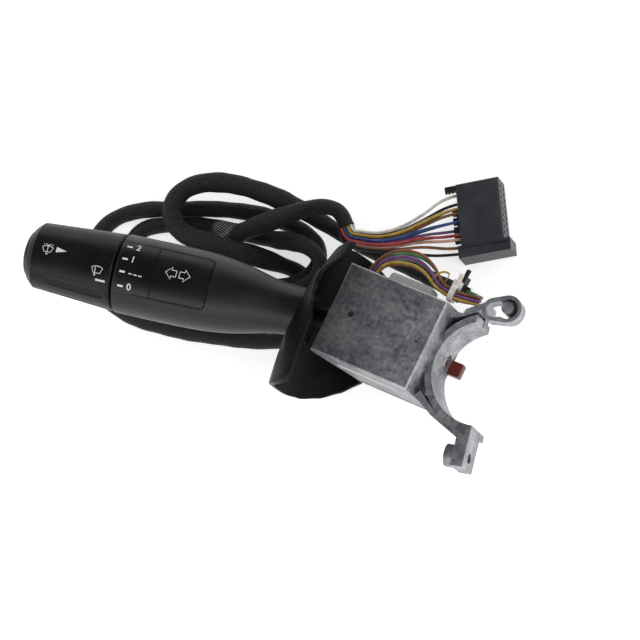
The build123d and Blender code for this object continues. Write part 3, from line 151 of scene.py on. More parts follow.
def noise(finish, scale, detail=2.0, roughness=0.5, where=None):
    """Cloudy noise with that many features per metre."""
    inputs = {"Vector": where or place_of(finish), "Scale": scale, "Detail": detail, "Roughness": roughness}
    return put(finish, "TexNoise", inputs).outputs[0]


def blend(finish, factor, dark, light, low=0.35, high=0.65):
    """A colour that goes from dark to light as a factor goes from low to high."""
    ramp = put(finish, "ValToRGB", {"Fac": factor})
    for stop, place, colour in zip(ramp.color_ramp.elements, (low, high), (dark, light)):
        stop.position, stop.color = place, (*colour, 1)
    return ramp.outputs["Color"]


def over(finish, mask, under, top, **settings):
    """Lays one colour over another where a mask is 1."""
    return put(finish, "Mix", {0: mask, 6: under, 7: top}, data_type="RGBA", **settings).outputs[2]


def span(finish, value, low, high, from_low=0.0, from_high=1.0):
    """A number moved from one range to another, and held inside it."""
    return put(finish, "MapRange", {"Value": value, "From Min": from_low, "From Max": from_high, "To Min": low,
                                    "To Max": high}).outputs["Result"]


def maths(finish, operation, first, second=0.0):
    """One sum, product or comparison of two numbers."""
    return put(finish, "Math", {0: first, 1: second}, operation=operation).outputs["Value"]


def relief(finish, height, depth, under=None):
    """A bump of that depth in metres, on top of another if one is given."""
    bump = put(finish, "Bump", {"Height": height, "Distance": depth, "Strength": 1.0})
    if under:
        finish.node_tree.links.new(under, bump.inputs["Normal"])
    return bump.outputs["Normal"]


def worn_edges(finish, radius):
    """A mask that is 1 on sharp edges and 0 on flats, from a bevelled normal."""
    bevel = put(finish, "Bevel", {"Radius": radius}, samples=6).outputs["Normal"]
    flat = put(finish, "NewGeometry").outputs["Normal"]
    close = put(finish, "VectorMath", {0: bevel, 1: flat}, operation="DOT_PRODUCT").outputs["Value"]
    return span(finish, close, 1.0, 0.0, 0.82, 0.995)


print("finish helpers ready")

# %% [markdown]
# ## The sleeve's route
# A cord is one smooth curve through the air, not a row of straight runs. A route is the list of control points of
# such a curve, in metres. The braided sleeve leaves the bundle behind the housing, lies in loose loops under and
# beside the stalk, and ends in front of the plug. Where it lies on the table, its points keep one height.

# %% The sleeve's route
SLEEVE_ROUTE = [
    (-.0242, .04, -.0081), (-.039, .0444, -.012), (-.057, .052, -.0228), (-.0755, .0578, -.03),
    (-.093, .0634, -.0318), (-.1095, .0696, -.028), (-.125, .0753, -.0245), (-.144, .0804, -.024),
    (-.163, .0832, -.024), (-.179, .0818, -.024), (-.1895, .076, -.024), (-.1932, .0665, -.024),
    (-.189, .0575, -.0235), (-.1795, .0523, -.0225), (-.167, .0498, -.0208), (-.149, .0484, -.0218),
    (-.132, .0472, -.029), (-.1185, .045, -.032), (-.1095, .038, -.032), (-.1063, .026, -.032),
    (-.11, .0145, -.032), (-.121, .0086, -.032), (-.139, .0068, -.032), (-.161, .0058, -.032),
    (-.183, .0066, -.032), (-.2027, .0092, -.032), (-.2195, .016, -.032), (-.2312, .0288, -.032),
    (-.2348, .044, -.032), (-.228, .0578, -.032), (-.2125, .0653, -.032), (-.1935, .0677, -.032),
    (-.1735, .071, -.032), (-.1535, .0718, -.032), (-.1345, .0697, -.032), (-.1195, .0645, -.0312),
    (-.11, .057, -.028), (-.1075, .048, -.0246), (-.112, .0395, -.024), (-.122, .0346, -.0255),
    (-.138, .0322, -.0295), (-.158, .0311, -.032), (-.1799, .0302, -.032), (-.197, .0326, -.032),
    (-.2085, .0385, -.032), (-.2135, .0475, -.032), (-.2085, .056, -.032), (-.196, .0593, -.032),
    (-.18, .0613, -.032), (-.164, .0614, -.032), (-.149, .0602, -.032), (-.134, .0586, -.0285),
    (-.121, .057, -.0215), (-.109, .0535, -.016), (-.102, .0465, -.0153), (-.1025, .0385, -.0153),
    (-.11, .032, -.0155), (-.124, .027, -.016), (-.141, .0235, -.018), (-.158, .0225, -.0215),
    (-.172, .024, -.0234), (-.1805, .03, -.0228), (-.1815, .0385, -.0255), (-.1755, .046, -.0302),
    (-.1655, .0513, -.0312), (-.155, .057, -.0245), (-.145, .0615, -.0215), (-.131, .0668, -.017),
    (-.118, .0726, -.0152), (-.1075, .076, -.016), (-.0995, .0745, -.0185), (-.0961, .0682, -.02)]
print("sleeve route:", len(SLEEVE_ROUTE), "points")

# %% [markdown]
# ## The routes of the plug's wires
# Thirteen wires leave the sleeve's cut end in three layers, as they lie in the bundle, spread in a fan and end in
# the plug's two rows. Drawing each one by itself gives the fan its crossings.

# %% The plug wires' routes
PLUG_ROUTES = [
    [(-.0936, .0689, -.0183), (-.0921, .066, -.019), (-.0893, .0666, -.0195), (-.08, .0668, -.0206),
     (-.0695, .0716, -.0219), (-.0598, .0806, -.0236), (-.0533, .0909, -.0272), (-.0467, .0932, -.0272)],
    [(-.0938, .0692, -.02), (-.0922, .0663, -.0207), (-.0891, .066, -.0212), (-.08, .0662, -.0223),
     (-.0695, .0706, -.0236), (-.0596, .0793, -.0267), (-.0526, .0888, -.0328), (-.046, .0911, -.0328)],
    [(-.094, .0695, -.0217), (-.0924, .0666, -.0223), (-.089, .0654, -.0229), (-.08, .0655, -.024),
     (-.0695, .0698, -.0253), (-.0596, .0779, -.0284), (-.0519, .0867, -.0328), (-.0452, .089, -.0328)],
    [(-.0951, .0681, -.0183), (-.0932, .0645, -.0192), (-.0889, .0648, -.0195), (-.08, .0649, -.0206),
     (-.0695, .0688, -.0219), (-.0594, .0766, -.0236), (-.0511, .0846, -.0272), (-.0445, .0868, -.0272)],
    [(-.0953, .0684, -.02), (-.0933, .0648, -.0208), (-.0888, .0641, -.0212), (-.08, .0642, -.0223),
     (-.0695, .0679, -.0236), (-.0594, .0752, -.0253), (-.0504, .0824, -.0272), (-.0438, .0847, -.0272)],
    [(-.0954, .0687, -.0217), (-.0935, .0651, -.0225), (-.0887, .0635, -.0229), (-.08, .0635, -.024),
     (-.0695, .067, -.0253), (-.0592, .0739, -.0284), (-.0497, .0803, -.0328), (-.043, .0826, -.0328)],
    [(-.0966, .0673, -.0183), (-.0943, .063, -.0193), (-.0885, .0629, -.0195), (-.08, .0629, -.0206),
     (-.0695, .0661, -.0219), (-.0592, .0725, -.0236), (-.0489, .0782, -.0272), (-.0423, .0805, -.0272)],
    [(-.0967, .0676, -.02), (-.0944, .0633, -.021), (-.0884, .0623, -.0212), (-.08, .0622, -.0223),
     (-.0695, .0652, -.0236), (-.059, .0712, -.0267), (-.0482, .076, -.0328), (-.0416, .0783, -.0328)],
    [(-.0969, .0679, -.0217), (-.0946, .0636, -.0227), (-.0883, .0616, -.0229), (-.08, .0616, -.024),
     (-.0695, .0644, -.0253), (-.059, .0698, -.0284), (-.0475, .0739, -.0328), (-.0408, .0762, -.0328)],
    [(-.098, .0665, -.0183), (-.0953, .0615, -.0195), (-.0882, .061, -.0195), (-.08, .0609, -.0206),
     (-.0695, .0634, -.0219), (-.0588, .0685, -.0236), (-.0467, .0718, -.0272), (-.0401, .0741, -.0272)],
    [(-.0982, .0668, -.02), (-.0955, .0618, -.0212), (-.0881, .0604, -.0212), (-.08, .0602, -.0223),
     (-.0695, .0626, -.0236), (-.0588, .0671, -.0253), (-.046, .0697, -.0272), (-.0394, .0719, -.0272)],
    [(-.0984, .0671, -.0217), (-.0956, .0621, -.0228), (-.0879, .0598, -.0229), (-.08, .0596, -.024),
     (-.0695, .0616, -.0253), (-.0586, .0658, -.0284), (-.0453, .0675, -.0328), (-.0386, .0698, -.0328)],
    [(-.0995, .0657, -.0201), (-.0969, .0602, -.0209), (-.0886, .058, -.021), (-.08, .058, -.0214),
     (-.07, .0598, -.0236), (-.06, .0612, -.027), (-.0495, .0624, -.0296), (-.0393, .0652, -.03)]]
print("plug routes:", len(PLUG_ROUTES))

# %% [markdown]
# ## The routes of the switch's wires
# Six wires come out of the housing in two layers. They arch over, are drawn together by a tie and turn back into
# the sleeve's other end.

# %% The switch wires' routes
SWITCH_ROUTES = {
    "brown": [(-.0696, .0405, .0043), (-.0673, .0452, .0053), (-.0614, .0507, .0064), (-.0526, .0534, .0071),
        (-.0436, .0524, .0069), (-.0364, .0471, .0058), (-.033, .0413, .0046), (-.0287, .0389, .0039),
        (-.0232, .0375, .0035), (-.0171, .0371, .0019), (-.0136, .038, -.0029), (-.0163, .0398, -.0077),
        (-.0235, .0415, -.0088)],
    "green": [(-.0696, .0405, .0026), (-.0673, .0452, .0036), (-.0615, .0502, .0042), (-.0529, .0524, .0045),
        (-.0439, .0514, .0043), (-.0365, .0467, .0038), (-.033, .0413, .0029), (-.0287, .0389, .0021),
        (-.0232, .0375, .0018), (-.0181, .0373, .0005), (-.0155, .0385, -.0029), (-.0178, .0401, -.0061),
        (-.0235, .0415, -.0072)],
    "violet": [(-.0677, .0401, .0043), (-.0657, .0445, .0053), (-.0605, .0484, .0064), (-.0528, .0503, .0071),
        (-.0448, .0495, .0069), (-.0384, .0454, .0058), (-.0346, .0402, .0046), (-.0293, .0374, .0039),
        (-.0235, .0358, .0035), (-.0175, .0354, .0019), (-.014, .0364, -.0029), (-.0167, .0381, -.0077),
        (-.0238, .0399, -.0088)],
    "grey": [(-.0677, .0401, .0026), (-.0657, .0445, .0036), (-.0605, .0482, .0042), (-.053, .0498, .0045),
        (-.0449, .049, .0043), (-.0384, .0452, .0038), (-.0346, .0402, .0029), (-.0293, .0374, .0021),
        (-.0235, .0358, .0018), (-.0185, .0357, .0005), (-.0159, .0368, -.0029), (-.0182, .0385, -.0061),
        (-.0238, .0399, -.0072)],
    "yellow": [(-.0659, .0396, .0043), (-.0641, .0438, .0053), (-.0595, .0463, .0064), (-.0531, .0471, .0071),
        (-.046, .0465, .0069), (-.0403, .0437, .0058), (-.0363, .0392, .0046), (-.03, .0358, .0039),
        (-.0239, .0342, .0035), (-.0179, .0338, .0019), (-.0144, .0347, -.0029), (-.017, .0365, -.0077),
        (-.0242, .0382, -.0088)],
    "thin": [(-.0659, .0396, .0026), (-.0641, .0438, .0036), (-.0595, .0462, .0042), (-.0531, .0469, .0045),
        (-.0461, .0463, .0043), (-.0403, .0436, .0038), (-.0363, .0392, .0029), (-.03, .0358, .0021),
        (-.0239, .0342, .0018), (-.0188, .034, .0005), (-.0163, .0352, -.0029), (-.0186, .0368, -.0061),
        (-.0242, .0382, -.0072)]}
print("switch routes:", ", ".join(SWITCH_ROUTES))

# %% [markdown]
# ## From a route to a curve
# A NURBS spline of order 3 cuts inside the corners of its control points, which is how a limp wire lies. Its order
# and its end points are set after the points are added, because they are limited by how many points there are.

# %% Make cords as curves
def add_run(line, places, kind="NURBS"):
    """Adds one spline with those control points to a curve."""
    run = line.splines.new(kind)
    run.points.add(len(places) - 1)
    for point, place in zip(run.points, places):
        point.co = (*place, 1)
    if kind == "NURBS":
        run.order_u, run.use_endpoint_u = 3, True
    return run


def cord_curve(name, route, diameter, sides=3):
    """A round cord along one smooth spline."""
    line = bpy.data.curves.new(name, "CURVE")
    line.dimensions = "3D"
    line.twist_mode = "MINIMUM"
    add_run(line, route)
    line.resolution_u = 10
    line.bevel_depth = diameter / 2
    line.bevel_resolution = sides
    line.use_fill_caps = True
    cord = bpy.data.objects.new(name, line)
    bpy.context.scene.collection.objects.link(cord)
    return cord


def centre_line(cord):
    """The points that a cord's spline runs through, and the length along it at each."""
    bare = bpy.data.objects.new("bare", cord.data.copy())
    bare.data.bevel_depth = 0
    mesh = bpy.data.meshes.new_from_object(bare)
    points = [v.co.copy() for v in mesh.vertices]
    bpy.data.meshes.remove(mesh)
    bpy.data.curves.remove(bare.data)
    lengths = [0.0]
    for before, after in zip(points, points[1:]):
        lengths.append(lengths[-1] + (after - before).length)
    return points, lengths


print("cords are NURBS splines of order 3")

# %% [markdown]
# ## Wire insulation
# Automotive wire is thin PVC over stranded copper. The plastic is a little glossy, and handling leaves it faintly
# dusty, so each colour varies a touch along the wire and has a soft, uneven shine. One recipe serves every colour.

# %% Colours of the wires
def wire_finish(name, colour):
    """Dusty, slightly glossy insulation of one colour."""
    finish = new_finish(name, colour, 0.36, Specular_IOR_Level=0.45)
    dusty = noise(finish, 260, 3)
    pale = [min(1.0, c * 1.15 + 0.02) for c in colour]
    to_shader(finish, "Base Color", blend(finish, dusty, [c * 0.78 for c in colour], pale))
    to_shader(finish, "Roughness", span(finish, noise(finish, 900), 0.27, 0.5))
    to_shader(finish, "Normal", relief(finish, noise(finish, 1400), 0.00004))
    return finish


WIRE_COLOURS = {
    "white": (0.68, 0.66, 0.60), "dark_violet": (0.035, 0.02, 0.04), "dark_green": (0.03, 0.16, 0.05),
    "yellow": (0.52, 0.33, 0.05), "brown": (0.23, 0.085, 0.035), "blue": (0.03, 0.085, 0.27),
    "violet": (0.22, 0.08, 0.27), "light_green": (0.19, 0.45, 0.20), "red": (0.46, 0.05, 0.05),
    "salmon": (0.72, 0.40, 0.32), "copper": (0.36, 0.15, 0.05), "black": (0.014, 0.014, 0.014),
    "green": (0.08, 0.33, 0.11), "grey": (0.36, 0.33, 0.36)}
wire_finishes = {colour: wire_finish("wire_" + colour, value) for colour, value in WIRE_COLOURS.items()}
print(len(wire_finishes), "wire colours")

# %% [markdown]
# ## Thirteen wires to the plug
# The wires fan out from the sleeve's cut end to two rows in the plug. Each one is a curve of its own that follows
# its route, so that it can bend, cross and be coloured by itself. It replaces the plain CAD wire of the same
# number, and its length is measured along the curve.

# %% Lay the plug's wires
PLUG_COLOURS = ["white", "dark_violet", "dark_green", "yellow", "brown", "blue", "blue", "violet", "light_green",
                "red", "salmon", "copper", "black"]
WIRE_DIAMETER = 0.0015


def lay_wire(name, route, colour, stands_for):
    """One insulated wire that replaces a CAD wire. Gives its length."""
    wire = cord_curve(name, route, WIRE_DIAMETER)
    wire.data.materials.append(wire_finishes[colour])
    length = centre_line(wire)[1][-1]
    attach(wire, "base")
    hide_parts(stands_for)
    return length


lengths = []
for number, (route, colour) in enumerate(zip(PLUG_ROUTES, PLUG_COLOURS), start=1):
    lengths.append(lay_wire(f"plug_lead_{number:02d}", route, colour, f"plug_wire_{number:02d}"))
print(len(lengths), "wires to the plug, longest", round(max(lengths), 4), "m")

# %% [markdown]
# ## Six wires from the switch
# These are laid in the same way. The one that the CAD model calls thin has the copper-brown insulation of one of
# the plug's wires.

# %% Lay the switch's wires
lengths = []
for colour, route in SWITCH_ROUTES.items():
    shade, slot = ("copper", "wire_brown") if colour == "thin" else (colour, "wire_" + colour)
    lengths.append(lay_wire(f"switch_lead_{colour}", route, shade, f"switch_wire_{colour}"))
print(len(lengths), "wires from the switch, longest", round(max(lengths), 4), "m")

# %% [markdown]
# ## The braided sleeve
# The harness runs in a woven polyester sleeve: seventeen yarns each way, each a flat ribbon of thin filaments,
# passing over and under. Half a million threads would be far too heavy, so the sleeve is a tube whose own UV map
# runs once round it and counts metres along it, and the weave is worked out from that map. The tube is made by
# sweeping the route's curve, and the plain centre line is read from the same curve without its thickness.

# %% Sweep the sleeve
SLEEVE_DIAMETER = 0.0076
sleeve_line = cord_curve("sleeve_line", SLEEVE_ROUTE, SLEEVE_DIAMETER, sides=6)
sleeve_line.data.use_fill_caps = False
sleeve_path, sleeve_lengths = centre_line(sleeve_line)
sleeve = bpy.data.objects.new("braided_sleeve", bpy.data.meshes.new_from_object(sleeve_line))
bpy.data.curves.remove(sleeve_line.data)
bpy.context.scene.collection.objects.link(sleeve)
print(f"sleeve is {sleeve_lengths[-1]:.3f} m long, {len(sleeve.data.vertices)} points, "
      f"{len(sleeve.data.uv_layers)} UV maps")

# %% [markdown]
# ## Settle the sleeve
# A real sleeve is never quite round: it bulges where the wires inside cross, and where it is nearly empty it
# flattens and spreads, most of all in the loops that lie on others. So each ring of the tube swells a little in
# three slow waves, and the free loops are made wider and lower, by a millimetre or so. Only the upper half is
# lowered, because the underside has to stay on the table. The UV map is then stretched from 0..1 to metres.

# %% Shape the sleeve and give its map real lengths
SLEEVE_SIDES = len(sleeve.data.vertices) // len(sleeve_path)
BULGES = ((0.030, 210, 0.0), (0.022, 517, 1.3), (0.018, 83, 0.4))
FREE_FROM, FREE_EASE = 0.108, 0.025
RAISED_FROM, RAISED_EASE = -0.0305, 0.004


def eased(value):
    """Held between 0 and 1."""
    return min(1.0, max(0.0, value))


for index, vertex in enumerate(sleeve.data.vertices):
    ring = index // SLEEVE_SIDES
    here = sleeve_path[ring]
    out = vertex.co - here
    free = eased((-here.x - FREE_FROM) / FREE_EASE)
    raised = eased((here.z - RAISED_FROM) / RAISED_EASE)
    swell = 1 + sum(size * sin(sleeve_lengths[ring] * rate + shift) for size, rate, shift in BULGES)
    wide = swell * (1 + free * (0.10 + 0.24 * raised))
    flat = 1 - free * (0.06 + 0.16 * raised) if out.z > 0 else 1.0
    vertex.co = here + Vector((out.x * wide, out.y * wide, out.z * flat))
    vertex.co.x = max(vertex.co.x, cad_box[0][0])
sleeve_map = sleeve.data.uv_layers[0]
sleeve_map.name = "along"
last_ring = len(sleeve_path) - 1
for loop in sleeve_map.data:
    loop.uv[0] = sleeve_lengths[min(last_ring, round(loop.uv[0] * last_ring))]
sleeve.data.polygons.foreach_set("use_smooth", [True] * len(sleeve.data.polygons))
print("sleeve settled,", SLEEVE_SIDES, "sides")

# %% [markdown]
# ## The weave
# Two families of yarns run round the tube in opposite directions. Along one family `a` is constant, along the other
# `b`: both are plain sums of the turn round the tube and the length along it. The whole parts of `a` and `b` say
# which two yarns cross here, and whether their sum is odd or even says which one is on top. The fractional parts
# give the rounded section of a yarn and the fine filaments inside it. In one stretch the mesh is pulled open, and
# the corners between the yarns let the light through.

# %% The braid's finish
YARNS = 17
BRAID_PITCH = 600
FILAMENTS = 44.0
OPEN_MESH = (-0.1625, 0.060, -0.027)


def braid_finish(name):
    """Flat yarns that pass over and under each other round a tube."""
    finish = new_finish(name, (0.02, 0.02, 0.022), 0.46, Specular_IOR_Level=0.34)
    place = put(finish, "SeparateXYZ", {0: put(finish, "UVMap", uv_map="along").outputs["UV"]})
    turn = maths(finish, "MULTIPLY", place.outputs["Y"], YARNS)
    wander = span(finish, noise(finish, 90, 1), -0.35, 0.35)
    reach = maths(finish, "ADD", maths(finish, "MULTIPLY", place.outputs["X"], BRAID_PITCH), wander)
    crossings = {}
    for family, operation in (("a", "ADD"), ("b", "SUBTRACT")):
        count = maths(finish, operation, turn, reach)
        part = maths(finish, "FRACT", count)
        centred = maths(finish, "ABSOLUTE", maths(finish, "SUBTRACT", part, 0.5))
        crossings[family] = (maths(finish, "FLOOR", count), part, centred)
    both = maths(finish, "ADD", crossings["a"][0], crossings["b"][0])
    a_on_top = maths(finish, "LESS_THAN", maths(finish, "FLOORED_MODULO", both, 2.0), 0.5)
    # the yarn on top is seen across its own width, and bows up along its length as it passes over
    across = put(finish, "Mix", {0: a_on_top, 2: crossings["b"][2], 3: crossings["a"][2]}).outputs[0]
    along = put(finish, "Mix", {0: a_on_top, 2: crossings["a"][2], 3: crossings["b"][2]}).outputs[0]
    threads = put(finish, "Mix", {0: a_on_top, 2: crossings["b"][1], 3: crossings["a"][1]}).outputs[0]
    yarn = span(finish, across, 1.0, 0.0, 0.26, 0.48)
    bow = span(finish, along, 1.0, 0.0, 0.15, 0.5)
    filaments = maths(finish, "SINE", maths(finish, "MULTIPLY", threads, FILAMENTS))
    height = maths(finish, "MULTIPLY", yarn, maths(finish, "ADD", maths(finish, "MULTIPLY", bow, 0.65), 0.35))
    height = maths(finish, "ADD", height, maths(finish, "MULTIPLY", filaments, 0.045))
    shade = maths(finish, "ADD", maths(finish, "MULTIPLY", height, 0.8), span(finish, noise(finish, 150), 0.0, 0.2))
    dark = blend(finish, shade, (0.0015, 0.0015, 0.0015), (0.030, 0.029, 0.029), 0.15, 0.95)
    # painted glints: pale specks that stand for highlights on the filaments, then the light corners of the open
    # stretch
    filament_glints = span(finish, noise(finish, 1500, 2), 0.0, 0.16, 0.66, 0.76)
    glinted_braid = over(finish, filament_glints, dark, (0.60, 0.60, 0.58, 1))
    apart = put(finish, "VectorMath", {0: put(finish, "TexCoord").outputs["Object"], 1: OPEN_MESH},
                operation="DISTANCE").outputs["Value"]
    corner = maths(finish, "MINIMUM", crossings["a"][2], crossings["b"][2])
    opened = maths(finish, "MULTIPLY", span(finish, corner, 0.0, 1.0, 0.24, 0.30),
                   span(finish, apart, 1.0, 0.0, 0.006, 0.0085))
    to_shader(finish, "Base Color", over(finish, opened, glinted_braid, (0.85, 0.85, 0.85, 1)))
    to_shader(finish, "Roughness", span(finish, height, 0.75, 0.38))
    to_shader(finish, "Normal", relief(finish, height, 0.0005))
    return finish


sleeve.data.materials.clear()
sleeve.data.materials.append(braid_finish("braided_polyester"))
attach(sleeve, "base")
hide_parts("harness_sleeve")
print("weave of", YARNS, "yarns each way")

# %% [markdown]
# ## The table
# The switch lies on a white table. Making it brighter with more light would wash out the switch, so the table glows
# a little by itself, but only for rays that see it directly, in a mirror or through glass, which Light Path tells.
# Diffuse rays see plain white paint, so the object's soft shadow stays.

# %% Table
TABLE_HEIGHT, TABLE_GLOW = -0.036, 0.62


def to_piece(name, shape, finish):
    """Turns a finished bmesh into an object with one material."""
    mesh = bpy.data.meshes.new(name)
    shape.to_mesh(mesh)
    shape.free()
    mesh.materials.append(finish)
    piece = bpy.data.objects.new(name, mesh)
    bpy.context.scene.collection.objects.link(piece)
    return piece


paper = new_finish("white_table", (0.80, 0.80, 0.80), 0.9, Specular_IOR_Level=0.1)
rays = put(paper, "LightPath").outputs
mirrored = maths(paper, "MAXIMUM", rays["Is Camera Ray"], rays["Is Glossy Ray"])
direct = maths(paper, "MAXIMUM", mirrored, rays["Is Transmission Ray"])
to_shader(paper, "Emission Strength", maths(paper, "MULTIPLY", direct, TABLE_GLOW))
paper.node_tree.nodes["Principled BSDF"].inputs["Emission Color"].default_value = (1, 1, 1, 1)
board = bmesh.new()
bmesh.ops.create_grid(board, x_segments=8, y_segments=8, size=3.0)
bmesh.ops.translate(board, verts=board.verts, vec=(0, 0, TABLE_HEIGHT))
table = to_piece("table", board, paper)
print("table at", TABLE_HEIGHT, "m")

# %% [markdown]
# ## The room
# A studio has white walls and a darker ceiling behind the camera, and black plastic shows both. The world does the
# same: it is white to the camera, it lights the object evenly at half strength, and in reflections it fades from
# white at the walls to dark overhead, which keeps the tops of the black parts dark and their sides bright.

# %% Room
EVEN_LIGHT, DARKEST_CEILING = 0.50, 0.13
CEILING_TOWARDS, CEILING_EDGE = (-0.1, 0.5, 0.85), 0.62
room = bpy.data.worlds.new("room")
room.use_nodes = True
bpy.context.scene.world = room
direction = put(room, "TexCoord").outputs["Generated"]
height = put(room, "VectorMath", {0: direction, 1: CEILING_TOWARDS}, operation="DOT_PRODUCT").outputs["Value"]
ceiling = span(room, height, 1.0, DARKEST_CEILING, 0.0, CEILING_EDGE)
rays = put(room, "LightPath").outputs
level = put(room, "Mix", {0: rays["Is Glossy Ray"], 2: EVEN_LIGHT, 3: ceiling}).outputs[0]
for ray in ("Is Transmission Ray", "Is Camera Ray"):
    level = put(room, "Mix", {0: rays[ray], 2: level, 3: 1.0}).outputs[0]
backdrop = room.node_tree.nodes["Background"]
room.node_tree.links.new(level, backdrop.inputs["Strength"])
backdrop.inputs["Color"].default_value = (1, 1, 1, 1)
print("room lit evenly at", EVEN_LIGHT, "and the ceiling down to", DARKEST_CEILING)

# %% [markdown]
# ## The lamps
# Two long soft lamps stand on either side of the stalk and draw a bright band along its upper and lower edges, and
# a third stands beyond the column, where it lights the cast arms. Area lamps are used because the shape of a lamp
# is what a glossy surface shows. They are weak, since the room gives most of the light.

# %% Lamps
CENTRE = Vector((-0.09, 0.03, 0.0))


def lamp(name, direction, distance, width, height, watts):
    """A soft rectangular lamp that looks at the middle of the switch."""
    light = bpy.data.lights.new(name, "AREA")
    light.shape = "RECTANGLE"
    light.size, light.size_y = width, height
    light.energy = watts
    stand = bpy.data.objects.new(name, light)
    away = Vector(direction).normalized()
    stand.location = CENTRE + away * distance
    stand.rotation_euler = away.to_track_quat("Z", "Y").to_euler()
    bpy.context.scene.collection.objects.link(stand)


lamp("far_side_lamp", (-0.2, 1.0, 0.28), 1.1, 1.5, 0.30, 3.5)
lamp("near_side_lamp", (0.1, -1.0, 0.62), 1.1, 1.5, 0.40, 4.3)
lamp("column_side_lamp", (1.0, -0.15, 0.8), 1.2, 0.5, 0.9, 2.5)
bpy.context.scene.view_settings.view_transform = "Standard"
print("lamps:", ", ".join(light.name for light in bpy.data.lights))

# %% [markdown]
# ## Cast aluminium
# The housing is a die casting: the metal chills against the mould in cloudy patches, flow marks and fine pits, and
# handling polishes its edges. Three noises of very different size share the work, the smallest two also as relief,
# and a bevelled normal finds the sharp edges that shine brighter. The colour is multiplied by a slow change along
# the
# housing. This is a painted shade: it darkens the metal near the lever's bearing, where the cowl shades it, and
# lightens it towards the column.

# %% Casting
casting = new_finish("cast_aluminium", (0.40, 0.41, 0.43), 0.5, 0.85)
clouds = noise(casting, 55, 4, 0.62)
spots = noise(casting, 420, 4, 0.6)
grain = noise(casting, 2600, 2)
patchy = maths(casting, "ADD", maths(casting, "MULTIPLY", clouds, 0.6), maths(casting, "MULTIPLY", spots, 0.4))
bare = blend(casting, patchy, (0.185, 0.19, 0.21), (0.48, 0.49, 0.51), 0.40, 0.64)
from_column = put(casting, "VectorMath", {0: place_of(casting), 1: HOUSING_ALONG}, operation="DOT_PRODUCT")
# painted shade along the housing: darker by the lever's bearing under the cowl, lighter towards the column
cowl_shade = span(casting, from_column.outputs["Value"], 0.62, 1.12, -0.076, -0.030)
cowl_shade_grey = put(casting, "CombineColor", {0: cowl_shade, 1: cowl_shade, 2: cowl_shade}).outputs[0]
shaded_metal = over(casting, 1.0, bare, cowl_shade_grey, blend_type="MULTIPLY")
rubbed = maths(casting, "MULTIPLY", worn_edges(casting, 0.0006), spots)
to_shader(casting, "Base Color", over(casting, rubbed, shaded_metal, (0.86, 0.87, 0.88, 1)))
to_shader(casting, "Roughness", span(casting, maths(casting, "ADD", spots, grain), 0.36, 0.62, 0.7, 1.3))
pits = relief(casting, spots, 0.00012)
to_shader(casting, "Normal", relief(casting, grain, 0.00006, under=pits))
print("casting:", len(casting.node_tree.nodes), "nodes")

# %% [markdown]
# ## Turned and plated steel
# Pins are turned: fine rings run round them and catch the light as thin streaks. The screws are zinc plated, a
# little bluer and duller, and the lever's root is black with oil. All get a fine noise in their roughness, which is
# squeezed along the pin's own direction where there are rings.

# %% Steel
def steel_finish(name, colour, roughness, streak=(1, 1, 9)):
    """Metal with a fine streaky shine."""
    finish = new_finish(name, colour, roughness, 1.0)
    streaks = noise(finish, 900, 3, where=place_of(finish, streak))
    to_shader(finish, "Base Color", blend(finish, noise(finish, 300, 3), [c * 0.7 for c in colour], colour))
    to_shader(finish, "Roughness", span(finish, streaks, roughness - 0.12, roughness + 0.14))
    to_shader(finish, "Normal", relief(finish, streaks, 0.00003))
    return finish


turned_steel = steel_finish("turned_steel", (0.60, 0.59, 0.57), 0.27)
zinc_plate = steel_finish("zinc_plate", (0.56, 0.58, 0.60), 0.38, (1, 1, 1))
oiled_steel = steel_finish("oiled_steel", (0.014, 0.0135, 0.013), 0.50, (1, 1, 4))
print("three steels")

# %% [markdown]
# ## Moulded black plastic
# Every black part is a slightly different black: the stalk and cowl are spark-eroded to a fine satin grain, the two
# plates are smoother, the knob sits between. One recipe takes the colour, the shine and the size of the grain, adds
# faint dust and scuffs in broad patches, and rubs the edges a little brighter.

# %% Black plastics
def moulded(name, colour, roughness, grain_size, grain_depth, dust=0.012, edge=0.05, shine=0.5):
    """Moulded plastic with a fine grain, faint dust and rubbed edges."""
    finish = new_finish(name, colour, roughness, Specular_IOR_Level=shine)
    broad = noise(finish, 70, 4, 0.6)
    fine = noise(finish, grain_size, 2)
    dusty = blend(finish, broad, colour, [c + dust for c in colour], 0.42, 0.72)
    rubbed = maths(finish, "MULTIPLY", worn_edges(finish, 0.0004), span(finish, noise(finish, 500, 3), 0.2, 1.0))
    to_shader(finish, "Base Color", over(finish, rubbed, dusty, (*[c + edge for c in colour], 1)))
    scuffed = maths(finish, "ADD", maths(finish, "MULTIPLY", broad, 0.5), maths(finish, "MULTIPLY", fine, 0.5))
    to_shader(finish, "Roughness", span(finish, scuffed, roughness - 0.09, roughness + 0.10, 0.35, 0.65))
    to_shader(finish, "Normal", relief(finish, fine, grain_depth))
    return finish


satin_black = moulded("satin_black", (0.0055, 0.0058, 0.006), 0.42, 2400, 0.00004, 0.006, 0.03, 0.36)
cowl_black = moulded("cowl_black", (0.0035, 0.0037, 0.004), 0.42, 1800, 0.00004, 0.003, 0.02, 0.16)
knob_black = moulded("knob_black", (0.005, 0.0053, 0.0056), 0.40, 2600, 0.00004, 0.004, 0.03, 0.21)
plate_black = moulded("plate_black", (0.004, 0.004, 0.0043), 0.37, 3200, 0.00002, 0.003, 0.02, 0.28)
button_black = moulded("button_black", (0.008, 0.008, 0.009), 0.38, 2600, 0.00003, 0.006, 0.03)
gearcase_black = moulded("gearcase_black", (0.016, 0.016, 0.017), 0.42, 1500, 0.00006, 0.02)
tie_black = moulded("tie_black", (0.010, 0.010, 0.010), 0.40, 1500, 0.00003)
socket_grey = moulded("socket_grey", (0.030, 0.034, 0.043), 0.42, 2200, 0.00005, 0.02, 0.08)
socket_black = moulded("socket_black", (0.014, 0.015, 0.018), 0.42, 2200, 0.00005)
shield_grey = moulded("shield_grey", (0.36, 0.36, 0.35), 0.50, 1500, 0.00006, 0.06, 0.10)
